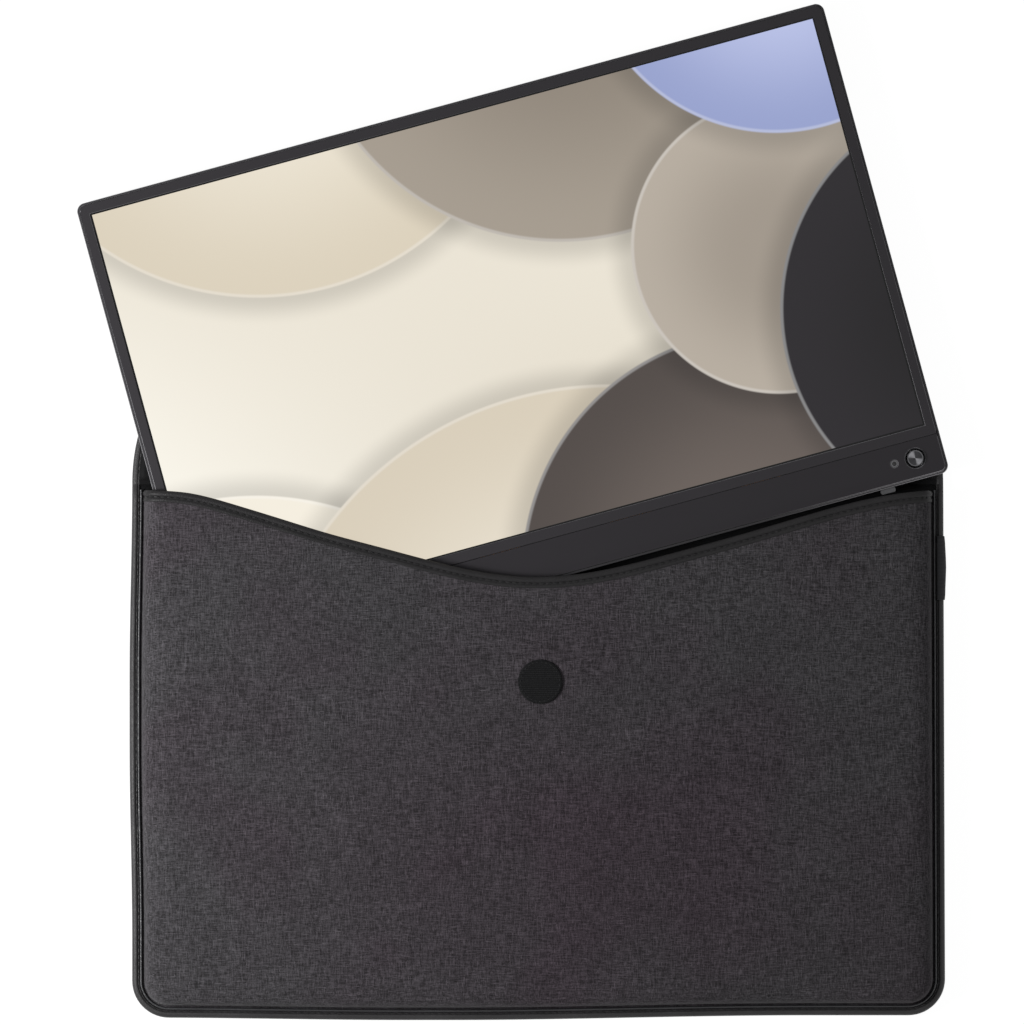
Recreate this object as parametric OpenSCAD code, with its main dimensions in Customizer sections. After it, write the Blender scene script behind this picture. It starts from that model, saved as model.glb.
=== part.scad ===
// Portable monitor lying askew in the mouth of its open envelope sleeve.
// Millimetres. The sleeve's back rests on z = 0, its fold line runs along X, and the
// flap and the monitor reach out of the mouth towards +Y. The origin is the centre
// of the back panel's resting face.

/* [Picture] */
// Width of the lit picture
screen_w = 344.2; // [320:0.1:370]
// Height of the lit picture
screen_h = 193.6; // [180:0.1:215]
// Black line between the picture and the bezel
screen_border = 0.7; // [0.3:0.1:1.5]

/* [Monitor body] */
// Bezel at each side of the picture
bezel_side = 6.3; // [6:0.1:12]
// Bezel above the picture
bezel_top = 6.3; // [5.7:0.1:12]
// Whole height of the frame below the picture
chin_h = 24.4; // [23:0.1:30]
// Bezel strip between the picture and the chin cover
chin_strip = 5.8; // [3.6:0.1:6]
// Thickness of the monitor
monitor_t = 10.5; // [10.4:0.1:14]
// Plan radius of the monitor's corners
monitor_r = 4; // [3.5:0.1:8]
// Wall and floor of the rear cover
shell_t = 1.6; // [1.4:0.1:1.8]
// Chamfer along the back edges of the rear cover
back_chamfer = 2.2; // [1:0.1:2.4]
// Width of the rear cover's ledge around the bezel
lip_w = 1.2; // [0.8:0.1:1.4]
// Drop from the bezel's face to that ledge
lip_drop = 0.9; // [0.5:0.1:1.2]
// Drop from the bezel's face to the chin cover's face
chin_drop = 0.15; // [0:0.05:0.3]
// Plate of the bezel over the edge of the panel
bezel_plate_t = 0.6; // [0.5:0.1:1]
// Plate of the chin cover
chin_plate_t = 1.6; // [1.2:0.1:1.7]

/* [Panel stack] */
// How far the panel glass runs past the picture
glass_margin = 2.5; // [2:0.1:2.6]
// Thickness of the panel glass
glass_t = 1.3; // [1:0.1:1.3]
// Thickness of the optical films
films_t = 0.4; // [0.2:0.1:0.5]
// Thickness of the light guide
guide_t = 0.7; // [0.5:0.1:0.8]
// Thickness of the reflector sheet
reflector_t = 0.2; // [0.1:0.05:0.3]
// Sheet metal of the panel tray
tray_t = 0.4; // [0.3:0.1:0.5]
// Plate of the mid frame
mid_t = 0.8; // [0.6:0.1:0.9]

/* [Boards] */
// Width of the main board
board_w = 114; // [112:1:150]
// Height of the main board
board_h = 60; // [56:1:80]
// Thickness of every circuit board
pcb_t = 1; // [0.8:0.1:1]
// Width of the speaker boxes
speaker_w = 36; // [30:1:37]
// Height of the speaker boxes across the chin
speaker_h = 14; // [12:1:15]

/* [Joystick] */
// Diameter of the joystick's cap
cap_d = 8.1; // [7:0.1:8.6]
// How far the cap stands above the bezel's face
cap_proud = 1.1; // [0.6:0.1:1.5]
// Free ring between the cap and the chin cover
cap_gap = 0.6; // [0.57:0.01:0.9]
// Travel of the cap when it is pressed
press_travel = 0.5; // [0.2:0.05:0.5]
// Cap's centre from the monitor's side edge
cap_from_side = 13.8; // [13:0.1:16]
// Cap's centre from the monitor's bottom edge
cap_from_bottom = 10.1; // [8.6:0.1:11]
// Outer diameter of the power light's ring
light_d = 3.3; // [2.5:0.1:3.7]
// Distance between the power light and the joystick
light_from_cap = 10; // [9.5:0.1:11]

/* [Feet and pads] */
// Width of each rubber foot on the bottom edge
foot_w = 6.8; // [5:0.1:12]
// How far the feet stand out of the bottom edge
foot_proud = 2.3; // [1:0.1:4]
// Centre of each foot from the monitor's side edge
foot_from_side = 29.7; // [26:0.1:34]
// How far the rear pads stand out of the back
pad_proud = 0.3; // [0.2:0.1:0.6]

/* [Sleeve layers] */
// Thickness of the woven outer fabric
fabric_t = 0.8; // [0.6:0.1:1]
// Thickness of the foam padding
foam_t = 2; // [1.5:0.1:2.4]
// Thickness of the smooth lining
lining_t = 0.5; // [0.4:0.1:0.7]

/* [Sleeve] */
// Free space round the monitor's edges in the pocket
pocket_clear = 0.8; // [0.3:0.1:3]
// Free space over the monitor's face in the pocket
face_clear = 0.5; // [0.3:0.1:3]
// Pocket left above the monitor when it is pushed home
pocket_spare = 14.3; // [8:0.1:40]
// Plan radius of the sleeve's bottom corners
sleeve_r = 17; // [16:0.5:30]
// Width of the leatherette edge binding
rim_w = 3.4; // [3:0.1:6]
// Thickness of the binding over the seam
rim_lip_t = 1.4; // [0.8:0.1:2]
// Diameter of the piping cord beside the binding
piping_d = 1.2; // [0.8:0.1:1.4]
// Groove that the piping cord lies in
piping_groove = 1.7; // [1.45:0.05:2]
// Radius over which the front panel rolls down to the rim
edge_round = 6; // [5:0.1:7]
// Drop from the fold line to the ends of the mouth
mouth_end_drop = 3.7; // [2:0.1:8]
// Depth of the wave in the middle of the mouth
mouth_dip = 38.5; // [20:0.1:60]
// How much fuller the wave hangs on both slopes and in the middle
mouth_ripple = 1.4; // [0:0.1:4]
// Width of the trim along the mouth
trim_w = 5.4; // [3:0.1:10]
// Thickness of that trim
trim_t = 0.6; // [0.4:0.1:0.9]
// Diameter of the round hook and loop dots
dot_d = 20.5; // [16:0.5:26]
// Hook dot's centre below the middle of the mouth
dot_below_mouth = 48.4; // [35:0.1:70]
// Hook dot's centre to the right of the middle
dot_off = 1.5; // [-5:0.1:5]
// Length of the loop on the right seam
loop_len = 29.5; // [15:0.5:40]
// Distance from the fold line to the loop
loop_from_fold = 24.9; // [12:0.1:60]

/* [Flap] */
// Radius of the flap's shoulders
shoulder_r = 80; // [70:1:90]
// Radius of the hollow between shoulder and tongue
neck_r = 150; // [135:1:200]
// Radius of the flap's tongue
tongue_r = 28; // [22:1:34]

/* [Pose] */
// How far the monitor is turned in the mouth, in degrees
tilt = 15.24; // [6:0.01:20]
// Gap between the monitor's left edge and the left end of the mouth
left_gap = 2.1; // [0.5:0.1:8]
// Height of the monitor's lower right corner over the fold line
corner_lift = 4.9; // [1:0.1:20]

/* [Hidden] */

// Round parts are true circles at this setting
$fn = 48;
// Small overlap that lets cuts run clear of a face
cut = 0.5;
// Clearance of a shaft that slides or turns in its bore
running = 0.05;
// Clearance between pieces that are laid together
laid = 0.2;

// Outline of the monitor, from its centre
monitor_w = screen_w + 2 * bezel_side;
monitor_h = screen_h + bezel_top + chin_h;
mon_x = monitor_w / 2;
mon_y = monitor_h / 2;
// Picture and glass edges in the monitor's own frame
pic_x = screen_w / 2;
pic_y0 = -mon_y + chin_h;
pic_y1 = mon_y - bezel_top;
glass_x = pic_x + glass_margin;
glass_y0 = pic_y0 - glass_margin;
glass_y1 = pic_y1 + glass_margin;
strip_y = pic_y0 - chin_strip;

// Heights inside the monitor, measured from its back face
glass_z1 = monitor_t - bezel_plate_t;
glass_z0 = glass_z1 - glass_t;
films_z0 = glass_z0 - films_t;
guide_z0 = films_z0 - guide_t;
reflector_z0 = guide_z0 - reflector_t;
tray_z0 = reflector_z0 - tray_t;
mid_z0 = tray_z0 - mid_t;
bezel_seat = monitor_t - 2.5;
ledge_z = monitor_t - lip_drop;
chin_z1 = monitor_t - chin_drop;
chin_z0 = chin_z1 - chin_plate_t;

// Main board beside the right wall, with its ports sunk into the board's edge
board_z = mid_z0 - 2.3;
board_x1 = mon_x - shell_t - 2.8;
board_x0 = board_x1 - board_w;
board_y0 = pic_y0 - 2.1;
board_y1 = board_y0 + board_h;
port_z = board_z + pcb_t / 2;
port_face = mon_x - 0.3;
port_len = 7.3;
usb_w = 8.94;
usb_h = 3.16;
hdmi_w = 11.2;
hdmi_h = 3.2;
port_wall = 0.35;
port_fit = 0.25;
usb_pitch = 15;
hdmi_pitch = 18;
usb_ys = [board_y0 + usb_pitch, board_y0 + 2 * usb_pitch];
hdmi_y = usb_ys[1] + hdmi_pitch;
hole_inset = 5;
hole_side_inset = 4;
port_side_inset = 14;
board_holes = [
    for (x = [board_x0 + hole_side_inset, board_x1 - port_side_inset])
        for (y = [board_y0 + hole_inset, board_y1 - 4]) [x, y]
];
screw_r = 0.8;
screw_head_r = 1.6;
boss_r = 2.5;

// Screws that hold the rear cover to the mid frame
cover_screw_r = 0.95;
cover_head_r = 2;
cover_head_t = 0.8;
cover_sink = 0.2;
cover_screw_in = 13.5;
chin_screw_x = mon_x - 40.4;
cover_holes = [
    [-mon_x + cover_screw_in, mon_y - cover_screw_in],
    [0, mon_y - cover_screw_in],
    [mon_x - cover_screw_in, mon_y - cover_screw_in],
    [-mon_x + cover_screw_in, board_y1 + 18],
    [mon_x - cover_screw_in, board_y1 + 18],
    [-chin_screw_x, -mon_y + cover_screw_in],
    [0, -mon_y + cover_screw_in],
    [chin_screw_x, -mon_y + cover_screw_in]
];
post_r = 3;

// Speakers behind the chin
speaker_in = 68.4;
speaker_up = 13.5;
speaker_x = mon_x - speaker_in;
speaker_y = -mon_y + speaker_up;
speaker_t = 3.4;
speaker_rim = 2;
cone_lift = 0.5;
cone_t = 0.5;

// Joystick, with its tilting ring and sleeve about one pivot
joy_x = mon_x - cap_from_side;
joy_y = -mon_y + cap_from_bottom;
light_x = joy_x - light_from_cap;
key_z = chin_z0 - 6.15;
key_top = key_z + pcb_t;
pivot_z = key_top + 1.8;
house_w = 9;
house_z1 = key_top + 2.9;
cavity_r = 3.6;
cavity_z = key_top + 0.4;
ring_r = 3.2;
ring_in = 2.3;
ring_t = 1.4;
pivot_pin_r = 0.35;
pivot_fit = 0.07;
sleeve_out = 1.9;
stem_r = 1.2;
dome_r = 1.6;
dome_t = 0.2;
stem_z0 = cavity_z + dome_t + press_travel + 0.15;
cap_r = cap_d / 2;
cap_hole_r = cap_r + cap_gap;
flange_r = cap_hole_r + 0.45;
flange_t = 0.4;
flange_z0 = house_z1 + press_travel + 0.7;
cap_top = monitor_t + cap_proud;
stem_top = chin_z1 - 0.9;
light_r = light_d / 2;

// Rear pads, kept clear of the column that passes over the loop dot
pad_w = 60;
pad_h = 8;
pad_x = 118;
pad_recess = 0.3;

// Layers of the sleeve's wall and the heights they give
wall_t = fabric_t + foam_t + lining_t;
lining_z = fabric_t + foam_t;
back_t = wall_t;
rest_gap = 0.1;
monitor_z = back_t + rest_gap + pad_proud;
rim_zone = rim_w + piping_groove;
half_w = mon_x + pocket_clear + wall_t + rim_zone;
sleeve_t = monitor_z + monitor_t + face_clear + wall_t;
sleeve_l = rim_zone + wall_t + monitor_h + pocket_spare;
y_bottom = -sleeve_l / 2;
y_fold = sleeve_l / 2;
y_mouth = y_fold - mouth_end_drop;
y_beyond = y_fold + 20;
pocket_r = sleeve_r - rim_zone;
// The seam allowance that the binding folds over
seam_in = 1;
flange_z = back_t;
rim_z0 = flange_z + fabric_t;
rim_z1 = rim_z0 + rim_lip_t;
rim_round = 0.7;
dot_t = 1.2;
mouth_low = y_mouth - mouth_dip - mouth_ripple;
dot_y = mouth_low - dot_below_mouth;
wave_steps = 48;

// Flap outline: shoulder, hollow and tongue are arcs that meet smoothly
fold_gap = 0.3;
wrap_rise = sleeve_t - back_t;
wrap_len = norm([y_fold - mouth_low, wrap_rise]) + dot_below_mouth;
shoulder_c = [half_w - shoulder_r, y_fold];
tongue_c = [0, y_fold + wrap_len];
to_tongue = tongue_c - shoulder_c;
span = norm(to_tongue);
side_a = shoulder_r + neck_r;
side_b = tongue_r + neck_r;
along = (side_a * side_a - side_b * side_b + span * span) / (2 * span);
away = sqrt(side_a * side_a - along * along);
unit = to_tongue / span;
neck_c = shoulder_c + along * unit + away * [unit[1], -unit[0]];
loop_dot_proud = 0.2;

// Place of the monitor in the mouth, found from its lower left corner
pocket_x = half_w - rim_zone - wall_t;
low_y = y_fold + corner_lift - monitor_w * sin(tilt);
low_x = -pocket_x + left_gap + (y_mouth - low_y) * tan(tilt);
centre_x = low_x + mon_x * cos(tilt) - mon_y * sin(tilt);
centre_y = low_y + mon_x * sin(tilt) + mon_y * cos(tilt);

function arc(c, r, a0, a1, steps) =
    [for (i = [0:steps]) let (a = a0 + (a1 - a0) * i / steps) c + r * [cos(a), sin(a)]];
function heading(v) = atan2(v[1], v[0]);
function mouth_y(x) =
    let (a = 180 * x / half_w) y_mouth - mouth_dip * (1 + cos(a)) / 2 - mouth_ripple * (1 + cos(3 * a)) / 2;
function mouth_slope(x) =
    let (a = 180 * x / half_w) PI / (2 * half_w) * (mouth_dip * sin(a) + 3 * mouth_ripple * sin(3 * a));
// Point of the mouth's wave, moved in by d square to the wave
function mouth_point(x, d) =
    let (s = mouth_slope(x), n = norm([s, 1])) [x + d * s / n, mouth_y(x) - d / n];
function mirrored(points) = [for (i = [len(points) - 1:-1:0]) [-points[i][0], points[i][1]]];
function flap_side(d) = concat(
    arc(shoulder_c, shoulder_r - d, asin(fold_gap / (shoulder_r - d)), heading(neck_c - shoulder_c), 18),
    arc(neck_c, neck_r + d, heading(shoulder_c - neck_c), heading(tongue_c - neck_c), 12),
    arc(tongue_c, tongue_r - d, heading(neck_c - tongue_c), 90, 10)
);

// Box between two corners
module block(x0, x1, y0, y1, z0, z1) {
    translate([x0, y0, z0]) cube([x1 - x0, y1 - y0, z1 - z0]);
}

// Flat rectangle with round corners, between two corners
module round_rect(x0, x1, y0, y1, r) {
    translate([x0 + r, y0]) square([x1 - x0 - 2 * r, y1 - y0]);
    translate([x0, y0 + r]) square([x1 - x0, y1 - y0 - 2 * r]);
    for (x = [x0 + r, x1 - r], y = [y0 + r, y1 - r]) translate([x, y]) circle(r);
}

module slab(x0, x1, y0, y1, r, z0, z1) {
    translate([0, 0, z0]) linear_extrude(z1 - z0) round_rect(x0, x1, y0, y1, r);
}

// Slab of the monitor's outline, drawn in by d on every side
module body_slab(d, z0, z1) {
    slab(-mon_x + d, mon_x - d, -mon_y + d, mon_y - d, monitor_r - d, z0, z1);
}

// Slab of the panel glass, drawn in by d on every side
module glass_slab(d, z0, z1) {
    block(-glass_x + d, glass_x - d, glass_y0 + d, glass_y1 - d, z0, z1);
}

// Puts a piece that is drawn about the monitor's back centre where the monitor lies
module on_monitor() {
    translate([centre_x, centre_y, monitor_z]) rotate([0, 0, tilt]) children();
}

// Rounded square column of the sleeve's outline, open towards the mouth
module sleeve_outline(d, y_top) {
    r = sleeve_r - d;
    x = half_w - d;
    y = y_bottom + d;
    translate([-x + r, y]) square([2 * (x - r), y_top - y]);
    translate([-x, y + r]) square([2 * x, y_top - y - r]);
    for (s = [-1, 1]) translate([s * (x - r), y + r]) circle(r);
}

module sleeve_slab(d, y_top, z0, z1) {
    translate([0, 0, z0]) linear_extrude(z1 - z0) sleeve_outline(d, y_top);
}

// Half section of the padded front: upright side with a round shoulder
module half_section(reach, r, z0, z1) {
    translate([0, z0]) square([reach, z1 - r - z0]);
    translate([0, z0]) square([reach - r, z1 - z0]);
    intersection() {
        translate([reach - r, z1 - r]) circle(r);
        translate([reach - r, z1 - r]) square(r);
    }
}

// Solid under the front panel's surface at depth d, open towards the mouth
module pocket_block(d, z0) {
    x = half_w - rim_zone - d;
    y = y_bottom + rim_zone + d;
    c = pocket_r - d;
    r = edge_round - d;
    z1 = sleeve_t - d;
    translate([0, y_beyond, 0]) rotate([90, 0, 0]) linear_extrude(y_beyond - y - c) {
        half_section(x, r, z0, z1);
        mirror([1, 0]) half_section(x, r, z0, z1);
    }
    translate([-x + c, y + c, 0]) rotate([90, 0, 90]) linear_extrude(2 * (x - c))
        mirror([1, 0]) half_section(c, r, z0, z1);
    for (s = [0, 1]) mirror([s, 0, 0])
        translate([x - c, y + c, 0]) rotate([0, 0, -90]) rotate_extrude(angle = 90)
            half_section(c, r, z0, z1);
}

// Everything below the mouth's wave, moved in by d
module below_mouth(d) {
    far = half_w + 10;
    points = [for (i = [0:wave_steps]) mouth_point(half_w * (2 * i / wave_steps - 1), d)];
    translate([0, 0, -1]) linear_extrude(sleeve_t + 5) polygon(concat(
        [[-far, y_bottom - 10], [-far, y_mouth - d]], points,
        [[far, y_mouth - d], [far, y_bottom - 10]]
    ));
}

// Runs a section round the left, bottom and right of the sleeve.
// The section's x is the distance in from the outline and its y is the height.
module around(y_top) {
    x = half_w - sleeve_r;
    y = y_bottom + sleeve_r;
    for (s = [0, 1]) mirror([s, 0, 0]) {
        translate([half_w, y_top, 0]) rotate([90, 0, 0]) linear_extrude(y_top - y)
            mirror([1, 0]) children();
        translate([x, y, 0]) rotate([0, 0, -90]) rotate_extrude(angle = 90)
            translate([sleeve_r, 0]) mirror([1, 0]) children();
    }
    translate([-x, y_bottom, 0]) rotate([90, 0, 90]) linear_extrude(2 * x) children();
}

module flap_slab(d, z0, z1) {
    side = flap_side(d);
    translate([0, 0, z0]) linear_extrude(z1 - z0) polygon(concat(side, mirrored(side)));
}

// Stadium-shaped opening of a port, looking along X
module port_outline(w, h, grow, length) {
    r = h / 2 + grow;
    rotate([90, 0, 90]) linear_extrude(length)
        round_rect(-w / 2 - grow, w / 2 + grow, -r, r, r * 0.999);
}

// Step to the left of a path at its point i, one unit square to both of the legs that meet there
function leftward(path, i) =
    let (last = len(path) - 1, j = max(i, 1), k = min(i, last - 1),
         a = (path[j] - path[j - 1]) / norm(path[j] - path[j - 1]),
         b = (path[k + 1] - path[k]) / norm(path[k + 1] - path[k]))
    [-a[1] - b[1], a[0] + b[0]] / (1 + a * b);

// Path whose end is moved on by d
function run_on(path, d) =
    let (last = len(path) - 1, way = path[last] - path[last - 1])
    [for (i = [0:last]) i < last ? path[i] : path[i] + way / norm(way) * d];

// Flat ribbon of width w along a path in plan, with mitred bends
module ribbon(path, w, t) {
    last = len(path) - 1;
    linear_extrude(t) polygon(concat(
        [for (i = [0:last]) path[i] + leftward(path, i) * w / 2],
        [for (i = [last:-1:0]) path[i] - leftward(path, i) * w / 2]));
}

module back_outer_fabric() {
    color("#3b393b") sleeve_slab(seam_in, y_fold, 0, fabric_t);
}

module back_foam() {
    color("#2a2a2c") sleeve_slab(seam_in, y_fold, fabric_t, lining_z);
}

module back_lining() {
    color("#161617") sleeve_slab(seam_in, y_fold, lining_z, back_t);
}

// Padded front with the seam allowance that runs out under the binding
module front_outer_fabric() {
    color("#3d3b3d") intersection() {
        difference() {
            union() {
                pocket_block(0, flange_z);
                sleeve_slab(seam_in, y_beyond, flange_z, rim_z0);
            }
            pocket_block(fabric_t, flange_z - cut);
        }
        below_mouth(trim_t);
    }
}

module front_foam() {
    color("#2a2a2c") intersection() {
        difference() {
            pocket_block(fabric_t, flange_z);
            pocket_block(lining_z, flange_z - cut);
        }
        below_mouth(trim_t);
    }
}

module front_lining() {
    color("#161617") intersection() {
        difference() {
            pocket_block(lining_z, flange_z);
            pocket_block(wall_t, flange_z - cut);
        }
        below_mouth(trim_t);
    }
}

// Leatherette folded over the seam, from the floor up round the outside
module edge_binding() {
    color("#38383a") around(y_fold) polygon(concat(
        arc([rim_round, rim_z1 - rim_round], rim_round, 180, 90, 5),
        arc([rim_w - rim_round, rim_z1 - rim_round], rim_round, 90, 0, 5),
        [[rim_w, rim_z0], [seam_in, rim_z0], [seam_in, 0]],
        arc([rim_round, rim_round], rim_round, 270, 180, 5)
    ));
}

module piping_cord() {
    color("#6a696b") around(y_mouth)
        translate([rim_w + piping_groove / 2, rim_z0 + piping_d / 2]) circle(piping_d / 2);
}

// Strip folded over the cut edge of the front panel
module mouth_trim() {
    color("#333335") difference() {
        intersection() {
            pocket_block(-trim_t, rim_z1 + cut);
            below_mouth(0);
        }
        intersection() {
            pocket_block(0, 0);
            below_mouth(trim_t);
        }
        pocket_block(wall_t, 0);
        below_mouth(trim_w);
    }
}

module hook_dot() {
    color("#1e1e20") translate([dot_off, dot_y, sleeve_t]) cylinder(h = dot_t, d = dot_d);
}

// Folded ribbon caught in the right seam
module side_loop() {
    y0 = y_fold - loop_from_fold - loop_len;
    color("#2a2a2b") translate([0, y0 + loop_len, 0]) rotate([90, 0, 0]) linear_extrude(loop_len)
        polygon([
            [half_w - rim_w + 0.2, rim_z1], [half_w, rim_z1], [half_w, 1], [half_w + 1, 1],
            [half_w + 1, rim_z1 + 0.3], [half_w + 0.5, rim_z1 + 0.8], [half_w - rim_w + 0.2, rim_z1 + 0.8]
        ]);
}

module flap_outer_fabric() {
    color("#3b393b") flap_slab(seam_in, 0, fabric_t);
}

module flap_foam() {
    color("#2a2a2c") difference() {
        flap_slab(seam_in, fabric_t, lining_z);
        translate([dot_off, tongue_c[1], lining_z - lining_t]) cylinder(h = lining_t + cut, d = dot_d);
    }
}

module flap_lining() {
    color("#161617") difference() {
        flap_slab(rim_w, lining_z, back_t);
        translate([dot_off, tongue_c[1], lining_z - cut]) cylinder(h = lining_t + 2 * cut, d = dot_d);
    }
}

module flap_binding() {
    color("#38383a") difference() {
        flap_slab(0, 0, back_t);
        for (y = [-cut, 0]) translate([0, y, 0]) {
            flap_slab(seam_in, -cut, lining_z);
            flap_slab(rim_w, -cut, back_t + cut);
        }
    }
}

// Mates with the hook dot when the flap is closed
module loop_dot() {
    color("#1a1a1b") translate([dot_off, tongue_c[1], lining_z - lining_t])
        cylinder(h = 2 * lining_t + loop_dot_proud, d = dot_d);
}

// Tub with a chamfered back, a step for the bezel and a ledge round it
module rear_cover() {
    color("#3a393b") on_monitor() difference() {
        union() {
            difference() {
                chamfered_slab(back_chamfer, ledge_z);
                body_slab(shell_t, shell_t, ledge_z + cut);
                body_slab(lip_w - running, bezel_seat, ledge_z + cut);
            }
            for (p = board_holes) translate([p[0], p[1], shell_t - cut])
                cylinder(h = board_z - shell_t + cut, r = boss_r);
            for (x = [light_x - 4, joy_x + 7]) translate([x, joy_y, shell_t - cut])
                cylinder(h = key_z - shell_t + cut, r = 1.8);
        }
        for (p = board_holes) translate([p[0], p[1], shell_t]) cylinder(h = board_z, r = screw_r + running);
        for (p = cover_holes) translate([p[0], p[1], -cut]) {
            cylinder(h = cover_head_t + cover_sink + cut, r = cover_head_r + laid);
            cylinder(h = shell_t + 2 * cut, r = cover_screw_r + running);
        }
        for (y = usb_ys) translate([mon_x - shell_t - cut, y, port_z])
            port_outline(usb_w, usb_h, port_fit, shell_t + 2 * cut);
        translate([mon_x - shell_t - cut, hdmi_y, port_z])
            port_outline(hdmi_w, hdmi_h, port_fit, shell_t + 2 * cut);
        speaker_slots();
        vent_slots();
        for (x = foot_xs()) translate([x, -mon_y - cut, foot_z]) rotate([-90, 0, 0])
            cylinder(h = shell_t + 2 * cut, r = foot_peg_r + running);
        pads(laid / 2, -cut, pad_recess);
    }
}

// Outline slab whose back edges are cut off at 45 degrees
module chamfered_slab(c, z1) {
    r = monitor_r;
    side = [[0, 0], [r - c, 0], [r, c], [r, z1], [0, z1]];
    translate([-mon_x + r, 0, 0]) rotate([90, 0, 90]) linear_extrude(2 * (mon_x - r))
        flat_profile(mon_y, c, z1);
    translate([0, mon_y - r, 0]) rotate([90, 0, 0]) linear_extrude(2 * (mon_y - r))
        flat_profile(mon_x, c, z1);
    for (x = [-1, 1], y = [-1, 1]) translate([x * (mon_x - r), y * (mon_y - r), 0])
        rotate_extrude() polygon(side);
}

module flat_profile(reach, c, z1) {
    polygon([[-reach + c, 0], [reach - c, 0], [reach, c], [reach, z1], [-reach, z1], [-reach, c]]);
}

// Slots over the two speakers
slot_w = 1.2;
slot_pitch = 3;
module speaker_slots() {
    count = floor((speaker_w - 6) / slot_pitch);
    for (s = [-1, 1], i = [0:count - 1])
        translate([s * speaker_x + (i - (count - 1) / 2) * slot_pitch, speaker_y, -cut])
            slot(slot_w, speaker_h - 5, shell_t + 2 * cut);
}

// Row of slots along the top that lets the warm air out
vent_count = 24;
module vent_slots() {
    for (i = [0:vent_count - 1])
        translate([(i - (vent_count - 1) / 2) * 5, mon_y - 24, -cut]) slot(1.4, 10, shell_t + 2 * cut);
}

module slot(w, l, h) {
    linear_extrude(h) {
        square([w, l - w], center = true);
        for (s = [-1, 1]) translate([0, s * (l - w) / 2]) circle(w / 2);
    }
}

module cover_screws() {
    color("#8a8a8c") on_monitor() for (p = cover_holes) translate([p[0], p[1], cover_sink]) difference() {
        union() {
            cylinder(h = cover_head_t, r = cover_head_r);
            cylinder(h = mid_z0 - cover_sink - 0.6, r = cover_screw_r);
        }
        for (a = [0, 90]) rotate([0, 0, a]) block(-1.1, 1.1, -0.25, 0.25, -cut, 0.4);
    }
}

// Four strips let into the back
module pads(grow, z0, z1) {
    for (s = [-1, 1], y = [-mon_y + 33, mon_y - 33])
        slab(s * pad_x - pad_w / 2 - grow, s * pad_x + pad_w / 2 + grow,
             y - pad_h / 2 - grow, y + pad_h / 2 + grow, pad_h / 2 + grow - 0.01, z0, z1);
}

module rear_pads() {
    color("#1c1c1d") on_monitor() pads(0, -pad_proud, pad_recess);
}

// Rubber feet on the bottom edge, each with a headed peg through the wall
foot_z = monitor_t / 2;
foot_h = 5.6;
foot_peg_r = 1.2;
foot_head_r = 1.8;
foot_head_t = 0.6;
function foot_xs() = [for (s = [-1, 1]) s * (mon_x - foot_from_side)];
module bottom_feet() {
    color("#3c3c3d") on_monitor() for (x = foot_xs()) {
        slab(x - foot_w / 2, x + foot_w / 2, -mon_y - foot_proud, -mon_y, 0.8,
             foot_z - foot_h / 2, foot_z + foot_h / 2);
        translate([x, -mon_y - 0.8, foot_z]) rotate([-90, 0, 0])
            cylinder(h = shell_t + 0.8, r = foot_peg_r);
        translate([x, -mon_y + shell_t, foot_z]) rotate([-90, 0, 0])
            cylinder(h = foot_head_t, r = foot_head_r);
    }
}

// Frame round the picture; a tongue reaches down to the mid frame
module front_bezel() {
    edge_r = monitor_r - lip_w;
    color("#39383a") on_monitor() difference() {
        union() {
            slab(-mon_x + lip_w, mon_x - lip_w, strip_y, mon_y - lip_w, edge_r, bezel_seat, monitor_t);
            slab(-mon_x + shell_t + laid, mon_x - shell_t - laid, strip_y, mon_y - shell_t - laid,
                 edge_r, tray_z0, bezel_seat + cut);
            block(-mon_x + lip_w, mon_x - lip_w, strip_y, strip_y + edge_r, bezel_seat, monitor_t);
        }
        glass_slab(-laid, tray_z0 - cut, glass_z1);
        block(-pic_x - screen_border, pic_x + screen_border, pic_y0 - screen_border, pic_y1 + screen_border,
              glass_z0, monitor_t + cut);
        for (x = tab_xs) block(x - tab_w / 2 - laid, x + tab_w / 2 + laid, strip_y - cut, glass_y0 + cut,
                               glass_z0 - tab_t - laid, glass_z0 + laid);
    }
}

// Lower front strip with the holes for the joystick and the power light
module chin_cover() {
    top = strip_y - 0.1;
    color("#2b292c") on_monitor() difference() {
        union() {
            chin_outline(top, chin_z0, chin_z1);
            difference() {
                chin_outline(top, bezel_seat, chin_z1);
                block(-mon_x + lip_w + 1.2, mon_x - lip_w - 1.2, -mon_y + lip_w + 1.2, top + cut,
                      bezel_seat - cut, chin_z0);
            }
        }
        translate([joy_x, joy_y, bezel_seat - cut]) cylinder(h = monitor_t, r = cap_hole_r);
        translate([light_x, joy_y, bezel_seat - cut]) cylinder(h = monitor_t, r = light_r + running);
    }
}

module chin_outline(top, z0, z1) {
    edge_r = monitor_r - lip_w;
    slab(-mon_x + lip_w, mon_x - lip_w, -mon_y + lip_w, top, edge_r, z0, z1);
    block(-mon_x + lip_w, mon_x - lip_w, top - edge_r, top, z0, z1);
}

module lcd_panel() {
    color("#8d8478") on_monitor() glass_slab(0, glass_z0, glass_z1);
}

module optical_films() {
    color("#f0f0ee") on_monitor() glass_slab(tray_t + laid, films_z0, glass_z0);
}

// Bar of lamps along the lower edge of the light guide
lamp_bar_h = 1.2;
module light_guide() {
    color("#dfe6ea") on_monitor() block(
        -glass_x + tray_t + laid, glass_x - tray_t - laid,
        glass_y0 + tray_t + laid + lamp_bar_h, glass_y1 - tray_t - laid, guide_z0, films_z0);
}

module led_bar() {
    color("#f2ead0") on_monitor() block(
        -glass_x + tray_t + laid, glass_x - tray_t - laid,
        glass_y0 + tray_t + laid, glass_y0 + tray_t + lamp_bar_h, guide_z0, films_z0);
}

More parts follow.
